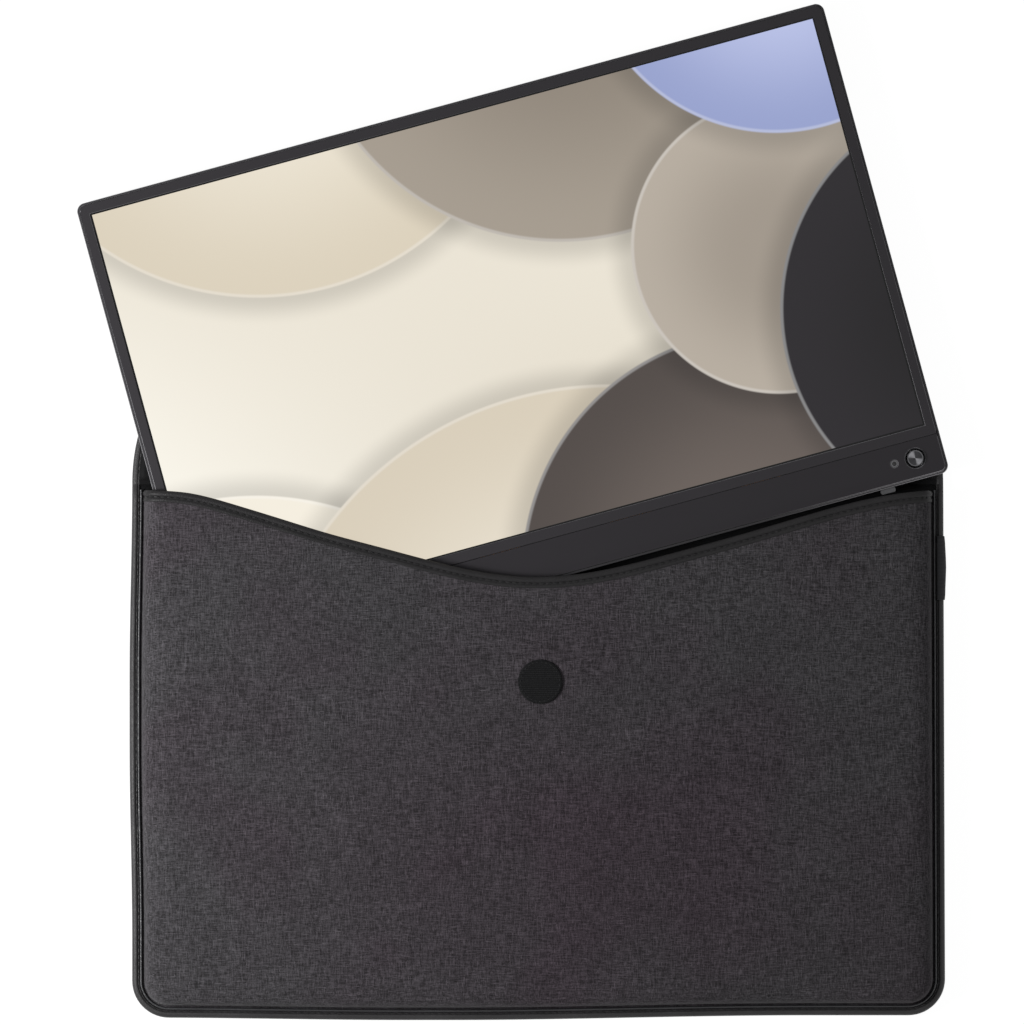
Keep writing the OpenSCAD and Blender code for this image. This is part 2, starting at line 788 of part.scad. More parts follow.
module reflector_sheet() {
    color("#fafafa") on_monitor() glass_slab(tray_t + laid, reflector_z0, guide_z0);
}

module panel_tray() {
    color("#9b9ea2") on_monitor() difference() {
        glass_slab(0, tray_z0, glass_z0);
        glass_slab(tray_t, reflector_z0, glass_z0 + cut);
        block(-glass_x + tray_t, glass_x - tray_t, glass_y0 - cut, glass_y0 + 2 * tray_t,
              glass_z0 - tab_t - laid, glass_z0 + cut);
    }
}

// Driver board in the chin, joined to the glass by bent flexible tabs
driver_w = 260;
driver_y0 = -mon_y + 3.6;
driver_y1 = strip_y - 3.4;
driver_t = 0.8;
tab_w = 20;
tab_t = 0.15;
tab_pitch = 62;
tab_lap = 1;
tab_xs = [for (i = [-1.5:1:1.5]) i * tab_pitch];
module panel_driver_board() {
    color("#1f5a3c") on_monitor()
        block(-driver_w / 2, driver_w / 2, driver_y0, driver_y1, tray_z0, tray_z0 + driver_t);
}

module panel_flex_tabs() {
    color("#b4762d") on_monitor() for (x = tab_xs) {
        block(x - tab_w / 2, x + tab_w / 2, driver_y1 - tab_lap, glass_y0 + tray_t,
              glass_z0 - tab_t, glass_z0);
        block(x - tab_w / 2, x + tab_w / 2, driver_y1 - tab_lap, driver_y1 - tab_lap + tab_t,
              tray_z0 + driver_t, glass_z0);
    }
}

// Stiff plate under the panel, with screw posts and windows for what passes through
cable_x = board_x0 + 7;
cable_w = 13;
cable_t = 0.2;
cable_y = strip_y - 0.8;
module mid_frame() {
    color("#57585c") on_monitor() difference() {
        union() {
            slab(-mon_x + shell_t + laid, mon_x - shell_t - laid, -mon_y + shell_t + laid,
                 mon_y - shell_t - laid, monitor_r - shell_t, mid_z0, tray_z0);
            for (p = cover_holes) translate([p[0], p[1], shell_t])
                cylinder(h = mid_z0 - shell_t + 0.1, r = post_r);
        }
        for (p = cover_holes) translate([p[0], p[1], shell_t - cut])
            cylinder(h = mid_z0 - shell_t + cut, r = cover_screw_r + running);
        translate([joy_x, joy_y, mid_z0 - cut]) cylinder(h = mid_t + 2 * cut, r = house_w * 0.78);
        translate([light_x, joy_y, mid_z0 - cut]) cylinder(h = mid_t + 2 * cut, r = light_r + 0.4);
        for (x = foot_xs()) block(x - foot_head_r - laid, x + foot_head_r + laid,
                                  -mon_y, -mon_y + shell_t + foot_head_t + laid, mid_z0 - cut, tray_z0 + cut);
        block(cable_x - laid, cable_x + cable_w + laid, cable_y - laid, cable_y + cable_t + laid,
              mid_z0 - cut, tray_z0 + cut);
    }
}

module main_board() {
    color("#1f5a3c") on_monitor() difference() {
        block(board_x0, board_x1, board_y0, board_y1, board_z, board_z + pcb_t);
        for (p = board_holes) translate([p[0], p[1], board_z - cut])
            cylinder(h = pcb_t + 2 * cut, r = screw_r + running);
        for (y = usb_ys) port_cutout(y, usb_w);
        port_cutout(hdmi_y, hdmi_w);
    }
}

module port_cutout(y, w) {
    block(port_face - port_len - laid, mon_x, y - w / 2 - laid, y + w / 2 + laid,
          board_z - cut, board_z + pcb_t + cut);
}

// Two large chips under the shield, a row of small ones and the cable's socket
chip_t = 0.9;
scaler_w = 16;
memory_w = 10;
small_w = 6;
small_h = 5;
small_y = board_y0 + 10;
socket_y = board_y0 + 9;
socket_h = 3;
shield_x = board_x0 + 40;
shield_y = board_y0 + 22;
shield_w = 40;
shield_h = 24;
shield_wall = 0.2;
module board_chips() {
    z = board_z + pcb_t;
    mid_y = shield_y + shield_h / 2;
    scaler_x = shield_x + 4;
    memory_x = shield_x + shield_w - 4 - memory_w;
    color("#26282b") on_monitor() {
        block(scaler_x, scaler_x + scaler_w, mid_y - scaler_w / 2, mid_y + scaler_w / 2, z, z + chip_t);
        block(memory_x, memory_x + memory_w, mid_y - memory_w / 2, mid_y + memory_w / 2, z, z + chip_t);
        for (i = [0:3]) translate([shield_x + 2 * (i - 1) * small_w, 0, 0])
            block(0, small_w, small_y, small_y + small_h, z, z + chip_t);
        block(cable_x, cable_x + cable_w, socket_y, socket_y + socket_h, z, z + chip_t);
    }
}

// Folded metal can over the two large chips
module board_shield() {
    z = board_z + pcb_t;
    x0 = shield_x;
    x1 = shield_x + shield_w;
    y0 = shield_y;
    y1 = shield_y + shield_h;
    color("#b5b8bb") on_monitor() difference() {
        block(x0, x1, y0, y1, z, z + chip_t + 0.3);
        block(x0 + shield_wall, x1 - shield_wall, y0 + shield_wall, y1 - shield_wall,
              z - cut, z + chip_t + 0.3 - shield_wall);
    }
}

module board_screws() {
    color("#c2c4c6") on_monitor() for (p = board_holes) translate([p[0], p[1], 0]) {
        translate([0, 0, shell_t + 0.2]) cylinder(h = board_z + pcb_t - shell_t - 0.1, r = screw_r);
        translate([0, 0, board_z + pcb_t]) cylinder(h = 0.7, r = screw_head_r);
    }
}

// Open metal sleeve of a port with a closed inner end
module port_shell(y, w, h) {
    translate([port_face - port_len, y, port_z]) difference() {
        port_outline(w, h, 0, port_len);
        translate([1, 0, 0]) port_outline(w, h, -port_wall, port_len);
    }
}

tongue_t = 0.7;
usb_tongue_w = 6.7;
hdmi_tongue_w = 8.4;
module port_tongue(y, w) {
    block(port_face - port_len + 1, port_face - 1, y - w / 2, y + w / 2,
          port_z - tongue_t / 2, port_z + tongue_t / 2);
}

module usb_c_shells() {
    color("#a9abae") on_monitor() for (y = usb_ys) port_shell(y, usb_w, usb_h);
}

module usb_c_tongues() {
    color("#1d1d1f") on_monitor() for (y = usb_ys) port_tongue(y, usb_tongue_w);
}

module hdmi_shell() {
    color("#a9abae") on_monitor() port_shell(hdmi_y, hdmi_w, hdmi_h);
}

module hdmi_tongue() {
    color("#1d1d1f") on_monitor() port_tongue(hdmi_y, hdmi_tongue_w);
}

// Flat cable from the main board up through the mid frame to the driver board
module panel_cable() {
    z0 = board_z + pcb_t;
    z1 = tray_z0 + driver_t;
    y0 = driver_y1 - 2;
    y2 = socket_y;
    y1 = cable_y + cable_t;
    color("#e3ddcf") on_monitor() translate([cable_x, 0, 0]) rotate([90, 0, 90]) linear_extrude(cable_w)
        polygon([
            [y2, z0], [y2, z0 + cable_t], [y1, z0 + cable_t], [y1, z1 + cable_t],
            [y0, z1 + cable_t], [y0, z1], [cable_y, z1], [cable_y, z0]
        ]);
}

module speaker_boxes() {
    color("#202124") on_monitor() for (s = [-1, 1]) translate([s * speaker_x, speaker_y, shell_t])
        difference() {
            speaker_slab(0, 0, speaker_t);
            speaker_slab(speaker_rim, -cut, cone_lift + cone_t);
        }
}

module speaker_slab(d, z0, z1) {
    slab(-speaker_w / 2 + d, speaker_w / 2 - d, -speaker_h / 2 + d, speaker_h / 2 - d,
         speaker_rim, z0, z1);
}

module speaker_cones() {
    color("#4a4a4d") on_monitor() for (s = [-1, 1]) translate([s * speaker_x, speaker_y, shell_t])
        speaker_slab(speaker_rim, cone_lift, cone_lift + cone_t);
}

// Two flat leads along the floor from the speakers to the main board
lead_w = 1.6;
lead_t = 0.8;
lead_pin_r = 0.5;
lead_start = 3;
lead_run = 6;
lead_jog = 2;
lead_climb = 8;
left_pad = [8, 10.5];
right_pad = [12, 14];
module speaker_wires() {
    near_y = speaker_y + speaker_h / 2 + lead_w / 2;
    left = [-speaker_x + speaker_w / 2 - lead_start, near_y];
    right = [speaker_x - speaker_w / 2 + lead_start, near_y];
    left_goal = [board_x0, board_y0] + left_pad;
    right_goal = [board_x0, board_y0] + right_pad;
    color("#8e2f2a") on_monitor() translate([0, 0, shell_t]) {
        ribbon(run_on([left, [left[0] + lead_run, left_goal[1]], left_goal], lead_w / 2), lead_w, lead_t);
        ribbon(run_on([right, [right[0] - lead_jog, right_goal[1] - lead_climb], right_goal], lead_w / 2),
               lead_w, lead_t);
        for (p = [left_goal, right_goal]) translate([p[0], p[1], lead_t / 2])
            cylinder(h = board_z - shell_t - lead_t / 2, r = lead_pin_r);
    }
}

module key_board() {
    color("#1f5a3c") on_monitor()
        block(light_x - 6.5, mon_x - shell_t - 1.2, joy_y - 5.8, joy_y + 6.2, key_z, key_top);
}

module key_cable() {
    x = light_x - 5;
    y0 = joy_y + 4;
    y1 = board_y0 + 3;
    bend = (joy_y + 6.2 + board_y0) / 2;
    near = bend - cable_t;
    top = board_z + pcb_t;
    color("#e3ddcf") on_monitor() translate([x, 0, 0]) rotate([90, 0, 90]) linear_extrude(6) polygon([
        [y0, key_top], [y0, key_top + cable_t], [near, key_top + cable_t], [near, top + cable_t],
        [y1, top + cable_t], [y1, top], [bend, top], [bend, key_top]
    ]);
}

module power_led() {
    color("#f4f1d8") on_monitor()
        block(light_x - 0.8, light_x + 0.8, joy_y - 0.4, joy_y + 0.4, key_top, key_top + 0.5);
}

// Clear cup that carries the lamp's light up to a ring in the chin cover
module power_light() {
    color("#8d8d90") on_monitor() translate([light_x, joy_y, 0]) difference() {
        union() {
            translate([0, 0, key_top + 0.7]) cylinder(h = chin_z1 - key_top - 0.7, r = light_r);
            translate([0, 0, chin_z0 - 0.4]) cylinder(h = 0.4, r = light_r + 0.35);
        }
        translate([0, 0, bezel_seat]) cylinder(h = monitor_t, r = light_r - 0.65);
    }
}

module joystick_housing() {
    color("#18181a") on_monitor() translate([joy_x, joy_y, 0]) difference() {
        block(-house_w / 2, house_w / 2, -house_w / 2, house_w / 2, key_top, house_z1);
        translate([0, 0, cavity_z]) cylinder(h = house_z1, r = cavity_r);
        translate([-ring_r - 0.95, 0, pivot_z]) rotate([0, 90, 0])
            cylinder(h = 2 * (ring_r + 0.95), r = pivot_pin_r + pivot_fit);
    }
}

module press_dome() {
    color("#c9cbcd") on_monitor() translate([joy_x, joy_y, cavity_z]) cylinder(h = dome_t, r = dome_r);
}

// Outer ring of the joint, on two pins along the monitor's width
module gimbal_ring() {
    color("#77797c") on_monitor() translate([joy_x, joy_y, pivot_z]) difference() {
        union() {
            translate([0, 0, -ring_t / 2]) cylinder(h = ring_t, r = ring_r);
            rotate([0, 90, 0]) translate([0, 0, -ring_r - 0.8])
                cylinder(h = 2 * (ring_r + 0.8), r = pivot_pin_r);
        }
        translate([0, 0, -1]) cylinder(h = 2, r = ring_in);
        rotate([90, 0, 0]) translate([0, 0, -ring_r - 1])
            cylinder(h = 2 * (ring_r + 1), r = pivot_pin_r + pivot_fit);
    }
}

// Inner sleeve of the joint, on two pins across the ring
module rocker_sleeve() {
    color("#5d5f62") on_monitor() translate([joy_x, joy_y, pivot_z]) difference() {
        union() {
            translate([0, 0, -0.8]) cylinder(h = 1.8, r = sleeve_out);
            rotate([90, 0, 0]) translate([0, 0, -ring_r + 0.1])
                cylinder(h = 2 * (ring_r - 0.1), r = pivot_pin_r);
        }
        translate([0, 0, -2]) cylinder(h = 4, r = stem_r + running);
    }
}

module joystick_stem() {
    color("#101012") on_monitor() translate([joy_x, joy_y, stem_z0])
        cylinder(h = stem_top - stem_z0, r = stem_r);
}

// Turned cap with a dished face, held under the chin cover by its flange
module joystick_cap() {
    bevel = 0.35;
    dish = 0.35;
    color("#4a4a4d") on_monitor() translate([joy_x, joy_y, 0]) difference() {
        rotate_extrude() polygon([
            [0, flange_z0], [flange_r, flange_z0], [flange_r, flange_z0 + flange_t],
            [cap_r, flange_z0 + flange_t], [cap_r, cap_top - bevel], [cap_r - bevel, cap_top],
            [0, cap_top - dish]
        ]);
        translate([0, 0, flange_z0 - cut]) cylinder(h = stem_top - flange_z0 + cut, r = stem_r + running);
    }
}

back_outer_fabric();
back_foam();
back_lining();
front_outer_fabric();
front_foam();
front_lining();
edge_binding();
piping_cord();
mouth_trim();
hook_dot();
side_loop();
flap_outer_fabric();
flap_foam();
flap_lining();
flap_binding();
loop_dot();
rear_cover();
cover_screws();
rear_pads();
bottom_feet();
front_bezel();
chin_cover();
lcd_panel();
optical_films();
light_guide();
reflector_sheet();
led_bar();
panel_tray();
panel_driver_board();
panel_flex_tabs();
mid_frame();
main_board();
board_chips();
board_shield();
board_screws();
usb_c_shells();
usb_c_tongues();
hdmi_shell();
hdmi_tongue();
panel_cable();
speaker_boxes();
speaker_cones();
speaker_wires();
key_board();
key_cable();
power_led();
power_light();
joystick_housing();
press_dome();
gimbal_ring();
rocker_sleeve();
joystick_stem();
joystick_cap();
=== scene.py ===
"""Looks of the portable monitor and its envelope sleeve.

Lengths here are millimetres in the object's own frame, the same numbers as in the CAD source.
Meshes are written in metres. The camera looks straight down, as the photograph does.
"""

import math

import bmesh
import bpy
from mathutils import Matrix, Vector, noise


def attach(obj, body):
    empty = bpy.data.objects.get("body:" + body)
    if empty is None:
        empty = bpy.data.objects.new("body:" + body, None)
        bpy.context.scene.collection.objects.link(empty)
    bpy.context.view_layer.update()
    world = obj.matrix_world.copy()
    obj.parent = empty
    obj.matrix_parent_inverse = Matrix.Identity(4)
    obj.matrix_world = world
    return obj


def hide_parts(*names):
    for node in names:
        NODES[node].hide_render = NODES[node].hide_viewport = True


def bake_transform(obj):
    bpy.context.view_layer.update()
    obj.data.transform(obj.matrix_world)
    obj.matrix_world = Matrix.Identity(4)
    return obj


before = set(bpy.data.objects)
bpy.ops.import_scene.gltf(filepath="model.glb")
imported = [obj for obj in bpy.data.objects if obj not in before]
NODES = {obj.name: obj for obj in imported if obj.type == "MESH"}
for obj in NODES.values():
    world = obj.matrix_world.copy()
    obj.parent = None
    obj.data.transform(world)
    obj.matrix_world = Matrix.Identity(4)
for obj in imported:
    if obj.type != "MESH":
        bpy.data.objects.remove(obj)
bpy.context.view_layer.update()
MM = 0.001

# Sleeve
HALF_W, Y_BOTTOM, Y_FOLD, Y_MOUTH = 187.6, -123.5, 123.5, 119.8
MOUTH_DIP, MOUTH_RIPPLE = 38.5, 1.4
SLEEVE_R, RIM_W = 17.0, 3.4
SLEEVE_T, CEILING, BACK_T = 18.0, 14.7, 3.3
TRIM_T = 0.6
SEWN_IN, SEWN_UP, TRIM_SEWN_IN = 2.86, 5.06, 3.22
PIPE_IN, PIPE_UP, PIPE_R = 4.25, 4.72, 0.6
DOT_R, DOT_X, DOT_Y = 10.25, 1.5, 31.5
LOOP_Y0, LOOP_Y1 = 69.1, 98.6
# Flap
SHOULDER_R, NECK_R, TONGUE_R, FLAP_Y = 80.0, 150.0, 28.0, 217.91
FOLD_HALF = 1.0
# Monitor
TILT = math.radians(15.24)
MON_X, MON_Y = -11.2445, 189.7113
MON_CORNER_X, MON_CORNER_Y = -153.89, 34.61
SCREEN_W, SCREEN_H, PIC_Y0, CHIN_TOP = 344.2, 193.6, -87.75, -93.6
CAP_X, CAP_Y = 174.392, 134.517


# ---------------------------------------------------------------- shapes

def steps(n):
    return [i / n for i in range(n + 1)]


def smooth(x, a, b):
    t = min(1.0, max(0.0, (x - a) / (b - a)))
    return t * t * (3 - 2 * t)


def mouth_y(x):
    a = math.pi * x / HALF_W
    return Y_MOUTH - MOUTH_DIP * (1 + math.cos(a)) / 2 - MOUTH_RIPPLE * (1 + math.cos(3 * a)) / 2


def mouth_slope(x):
    a = math.pi * x / HALF_W
    return math.pi / (2 * HALF_W) * (MOUTH_DIP * math.sin(a) + 3 * MOUTH_RIPPLE * math.sin(3 * a))


def mouth_edge(x):
    """Height in plan of the cloth's edge, which the trim wraps, just inside the mouth's wave."""
    return mouth_y(x) - TRIM_T * math.hypot(1, mouth_slope(x))


def swell(x, centre, width):
    return math.exp(-((x - centre) / width) ** 2)


def settle(x, y):
    """The sewn sleeve isn't a perfect rectangle: its sides and mouth bow by a millimetre or so."""
    left = -0.5 + 1.2 * smooth(abs(y - 18), 15, 105)
    right = 0.5 - 0.0035 * min(y, 125)
    base = -1.4 + 2.2 * smooth(x, -40, 125) + 1.1 * smooth(-x, 60, 180)
    lip = 1.1 * swell(x, -160, 20) - 0.75 * swell(x, -97, 24) - 0.5 * swell(x, 98, 30)
    s = (x + HALF_W) / (2 * HALF_W)
    t = min(1.0, max(0.0, (y - Y_BOTTOM) / 200))
    sides = 1 - smooth(y, 125, 180)
    mouth = smooth(y, 0, 95) * (1 - smooth(y, 117, 122.4))
    return x + sides * (left * (1 - s) ** 2 + right * s ** 2), y + base * (1 - t) ** 2 + lip * mouth


def build(name, points, faces, material, body, settled=False):
    """Mesh object from points in millimetres that rides on a body."""
    if settled:
        points = [(*settle(x, y), z) for x, y, z in points]
    mesh = bpy.data.meshes.new(name)
    mesh.from_pydata([(x * MM, y * MM, z * MM) for x, y, z in points], [], faces)
    bm = bmesh.new()
    bm.from_mesh(mesh)
    bmesh.ops.recalc_face_normals(bm, faces=bm.faces)
    bm.to_mesh(mesh)
    bm.free()
    mesh.shade_smooth()
    obj = bpy.data.objects.new(name, mesh)
    bpy.context.scene.collection.objects.link(obj)
    for m in material if isinstance(material, (list, tuple)) else [material]:
        obj.data.materials.append(m)
    if body:
        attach(obj, body)
    return obj


CREASE = 60


def sharpen(obj):
    """Faces that meet at more than the crease angle, in degrees, keep a crisp edge."""
    obj.data.set_sharp_from_angle(angle=math.radians(CREASE))
    return obj


def tube_faces(m, n):
    """Faces of a closed section of m points that is swept along n places, with a cap at each end."""
    faces = [(i * n + j, i * n + j + 1, (i + 1) % m * n + j + 1, (i + 1) % m * n + j)
             for i in range(m) for j in range(n - 1)]
    return faces + [tuple(i * n for i in range(m)), tuple(i * n + n - 1 for i in reversed(range(m)))]


def ring_faces(m, n):
    """Faces between n closed rings of m points each, with a cap at each end."""
    faces = [(i * m + j, i * m + (j + 1) % m, (i + 1) * m + (j + 1) % m, (i + 1) * m + j)
             for i in range(n - 1) for j in range(m)]
    return faces + [tuple(reversed(range(m))), tuple((n - 1) * m + j for j in range(m))]


def loft(name, section, rail, material, body, settled=False, lift=None):
    """Sweeps a closed section of (distance in, height) along rail(distance in), and caps its ends."""
    rows = [[(x, y, lift(x, y, z) if lift else z) for x, y in rail(d)] for d, z in section]
    faces = tube_faces(len(rows), len(rows[0]))
    return build(name, [p for row in rows for p in row], faces, material, body, settled=settled)


def shell(name, outer, inner, faces, material, body, settled=False):
    """Closed solid between two skins that share one set of faces."""
    n = len(outer)
    owned = {}
    for f in faces:
        for a, b in zip(f, f[1:] + f[:1]):
            owned[(a, b)] = True
    walls = [(b, a, a + n, b + n) for a, b in owned if (b, a) not in owned]
    under = [tuple(v + n for v in reversed(f)) for f in faces]
    return build(name, outer + inner, faces + under + walls, material, body, settled=settled)


def walk(points, spacing):
    """Points at equal distances along a line in space, with the direction there."""
    line = [Vector(p) for p in points]
    lengths = [0.0]
    for a, b in zip(line, line[1:]):
        lengths.append(lengths[-1] + (b - a).length)
    found, k = [], 0
    for i in range(int(lengths[-1] / spacing) + 1):
        s = i * spacing
        while k < len(line) - 2 and lengths[k + 1] < s:
            k += 1
        span = lengths[k + 1] - lengths[k] or 1.0
        along = (line[k + 1] - line[k]).normalized()
        found.append((line[k].lerp(line[k + 1], (s - lengths[k]) / span), along))
    return found


def stitches(name, points, material, body, length=2.3, pitch=3.1, radius=0.24, settled=False):
    """Row of short sewn threads along a line; each dips into the cloth at both ends."""
    up = Vector((0, 0, 1))
    part = pitch / 6
    line = walk(points, part)
    verts, faces = [], []
    share = max(2, round(length / part))
    for start in range(0, len(line) - share, 6):
        base = len(verts)
        for k in range(share + 1):
            p, along = line[start + k]
            side = along.cross(up).normalized()
            t = k / share
            girth = radius * math.sin(math.pi * min(1, max(0, 0.12 + 0.76 * t))) ** 0.5
            sink = radius * 0.9 * (2 * t - 1) ** 4
            for c in range(6):
                a = math.tau * c / 6
                v = p + side * (math.cos(a) * girth) + up * (math.sin(a) * girth - sink)
                verts.append(tuple(v))
        for k in range(share):
            for c in range(6):
                faces.append((base + k * 6 + c, base + k * 6 + (c + 1) % 6,
                              base + k * 6 + 6 + (c + 1) % 6, base + k * 6 + 6 + c))
        faces.append(tuple(base + c for c in reversed(range(6))))
        faces.append(tuple(base + share * 6 + c for c in range(6)))
    return build(name, verts, faces, material, body, settled=settled)


# ---------------------------------------------------------------- materials

def rgb(code, level=1.0):
    """Scene colour of an sRGB hex code."""
    parts = [int(code[i:i + 2], 16) / 255 for i in (1, 3, 5)]
    return tuple(level * (c / 12.92 if c <= 0.04045 else ((c + 0.055) / 1.055) ** 2.4) for c in parts) + (1.0,)


class Shader:
    """A Principled material with short names for the nodes that feed it."""

    def __init__(self, name, colour="#808080", rough=0.5, metal=0.0, specular=0.3, sheen=0.0):
        self.material = bpy.data.materials.new(name)
        self.material.use_nodes = True
        self.tree = self.material.node_tree
        self.tree.nodes.clear()
        self.out = self.node("ShaderNodeOutputMaterial")
        self.bsdf = self.node("ShaderNodeBsdfPrincipled")
        self.tree.links.new(self.bsdf.outputs[0], self.out.inputs["Surface"])
        self.set("Base Color", rgb(colour))
        self.set("Roughness", rough)
        self.set("Metallic", metal)
        self.set("Specular IOR Level", specular)
        self.set("Sheen Weight", sheen)
        self.set("Sheen Roughness", 0.45)
        self.material.diffuse_color = rgb(colour)

    def node(self, kind, **fields):
        made = self.tree.nodes.new(kind)
        for k, v in fields.items():
            setattr(made, k, v)
        return made

    def feed(self, socket, value):
        if isinstance(value, bpy.types.NodeSocket):
            self.tree.links.new(value, socket)
        else:
            socket.default_value = value

    def set(self, name, value):
        self.feed(self.bsdf.inputs[name], value)

    def place(self, scale=(1, 1, 1), turn=0.0, shift=(0, 0, 0), kind="POINT"):
        """Object coordinates in millimetres, stretched and turned."""
        coords = self.node("ShaderNodeTexCoord")
        mapping = self.node("ShaderNodeMapping", vector_type=kind)
        k = (1 / MM) if kind == "POINT" else MM
        self.feed(mapping.inputs["Vector"], coords.outputs["Object"])
        self.feed(mapping.inputs["Scale"], tuple(s * k for s in scale))
        self.feed(mapping.inputs["Rotation"], (0, 0, turn))
        unit = 1 if kind == "POINT" else MM
        self.feed(mapping.inputs["Location"], tuple(s * unit for s in shift))
        return mapping.outputs[0]

    def noise(self, where, scale=1.0, detail=2.0, rough=0.5, distortion=0.0):
        n = self.node("ShaderNodeTexNoise")
        self.feed(n.inputs["Vector"], where)
        self.feed(n.inputs["Scale"], scale)
        self.feed(n.inputs["Detail"], detail)
        self.feed(n.inputs["Roughness"], rough)
        self.feed(n.inputs["Distortion"], distortion)
        return n.outputs["Fac"]

    def cells(self, where, scale=1.0, feature="DISTANCE_TO_EDGE"):
        n = self.node("ShaderNodeTexVoronoi", feature=feature)
        self.feed(n.inputs["Vector"], where)
        self.feed(n.inputs["Scale"], scale)
        return n.outputs["Distance"]

    def bands(self, where, scale=1.0, direction="X", distortion=0.0, kind="BANDS"):
        n = self.node("ShaderNodeTexWave", wave_type=kind)
        setattr(n, "bands_direction" if kind == "BANDS" else "rings_direction", direction)
        self.feed(n.inputs["Vector"], where)
        self.feed(n.inputs["Scale"], scale)
        self.feed(n.inputs["Distortion"], distortion)
        self.feed(n.inputs["Detail"], 1.0)
        self.feed(n.inputs["Detail Scale"], 1.5)
        return n.outputs["Fac"]

    def math(self, operation, a, b=0.0, c=0.0):
        n = self.node("ShaderNodeMath", operation=operation)
        for socket, value in zip(n.inputs, (a, b, c)):
            self.feed(socket, value)
        return n.outputs[0]

    def spread(self, value, low, high, to_low=0.0, to_high=1.0, soft=True):
        n = self.node("ShaderNodeMapRange", interpolation_type="SMOOTHSTEP" if soft else "LINEAR")
        for socket, v in zip(n.inputs, (value, low, high, to_low, to_high)):
            self.feed(socket, v)
        return n.outputs[0]

    def mix(self, share, a, b, blend="MIX"):
        n = self.node("ShaderNodeMix", data_type="RGBA", blend_type=blend)
        self.feed(n.inputs[0], share)
        self.feed(n.inputs[6], a)
        self.feed(n.inputs[7], b)
        return n.outputs[2]

    def grey(self, value):
        n = self.node("ShaderNodeCombineColor")
        for socket in n.inputs:
            self.feed(socket, value)
        return n.outputs[0]

    def bump(self, *layers):
        """Stacks (height, depth in millimetres) layers of relief."""
        below = None
        for height, depth in layers:
            n = self.node("ShaderNodeBump")
            self.feed(n.inputs["Height"], height)
            self.feed(n.inputs["Distance"], depth * MM)
            self.feed(n.inputs["Strength"], 1.0)
            if below is not None:
                self.feed(n.inputs["Normal"], below)
            below = n.outputs[0]
        self.set("Normal", below)


def woven(name, light, dark, tint, seed=0.0):
    """Heather cloth: slubs of two tones along warp and weft over a fine plain weave."""
    s = Shader(name, dark, rough=0.9, specular=0.06, sheen=0.08)
    shift = (seed, 2 * seed, seed)
    warp = s.noise(s.place((1.7, 0.2, 1.5), shift=shift), 1.0, 2.5, 0.6, 0.3)
    weft = s.noise(s.place((0.2, 1.7, 1.5), shift=shift), 1.0, 2.5, 0.6, 0.3)
    pale = s.noise(s.place((0.3, 2.3, 1.5), shift=(seed + 7, seed, 0)), 1.0, 1.5, 0.5, 0.2)
    rise = s.noise(s.place((2.3, 0.3, 1.5), shift=(seed, seed + 7, 0)), 1.0, 1.5, 0.5, 0.2)
    specks = s.noise(s.place((1.5, 1.5, 1.5), shift=shift), 1.0, 2.0, 0.7)
    slubs = s.math("ADD", s.spread(warp, 0.36, 0.66), s.spread(weft, 0.36, 0.66))
    slubs = s.math("MULTIPLY_ADD", s.spread(specks, 0.3, 0.7), 0.8, slubs)
    tone = s.mix(s.spread(slubs, 0.35, 2.4, soft=False), rgb(dark), rgb(light))
    fleck = s.math("MAXIMUM", s.spread(pale, 0.6, 0.72), s.spread(rise, 0.6, 0.72))
    tone = s.mix(s.math("MULTIPLY", fleck, 0.5), tone, rgb(light, 1.7))
    burr = s.math("MAXIMUM", s.spread(pale, 0.38, 0.28), s.spread(rise, 0.38, 0.28))
    tone = s.mix(s.math("MULTIPLY", burr, 0.5), tone, rgb(dark, 0.6))
    patches = s.noise(s.place((1, 1, 1), shift=shift), 0.016, 2.0, 0.5)
    cloudy = s.noise(s.place((1, 1, 1), shift=shift), 0.05, 3.0, 0.5)
    # Share of the pinkish tint: most near a spot 50 mm below the piece's origin, fading out over 130 mm, plus
    # random patches.
    middle = s.node("ShaderNodeVectorMath", operation="DISTANCE")
    s.feed(middle.inputs[0], s.place((0.7, 1, 1)))
    s.feed(middle.inputs[1], (0, -50, 0))
    tint_share = s.math("ADD",
                  s.spread(middle.outputs["Value"], 20, 130, 0.75, 0.05),
                  s.spread(patches, 0.4, 0.7, -0.1, 0.35))
    tone = s.mix(tint_share, tone, s.mix(1.0, tone, rgb(tint), "MULTIPLY"))
    tone = s.mix(1.0, tone, s.grey(s.spread(cloudy, 0.3, 0.7, 0.94, 1.05)), "MULTIPLY")
    s.set("Base Color", tone)
    threads = s.math("MAXIMUM",
                     s.bands(s.place((1, 1, 1)), 0.62, "X", 0.6),
                     s.bands(s.place((1, 1, 1)), 0.62, "Y", 0.6))
    s.set("Roughness", s.spread(specks, 0.3, 0.7, 0.84, 0.96))
    s.bump((threads, 0.06), (slubs, 0.05))
    return s.material


def leatherette(name, colour, rough=0.5, specular=0.3):
    """Coated cloth with a fine pebble grain."""
    s = Shader(name, colour, rough, specular=specular)
    grain = s.cells(s.place((1.1, 1.1, 1.1)), 1.0)
    fine = s.noise(s.place(), 2.6, 2.0, 0.6)
    cloudy = s.noise(s.place(), 0.06, 3.0, 0.55)
    tone = s.mix(s.spread(cloudy, 0.3, 0.7), rgb(colour, 0.82), rgb(colour, 1.16))
    s.set("Base Color", s.mix(s.spread(grain, 0.0, 0.22, 0.35, 0.0), tone, rgb(colour, 0.45)))
    s.set("Roughness", s.spread(fine, 0.3, 0.7, rough - 0.07, rough + 0.09))
    s.bump((s.spread(grain, 0.0, 0.3), 0.05), (fine, 0.03))
    return s.material


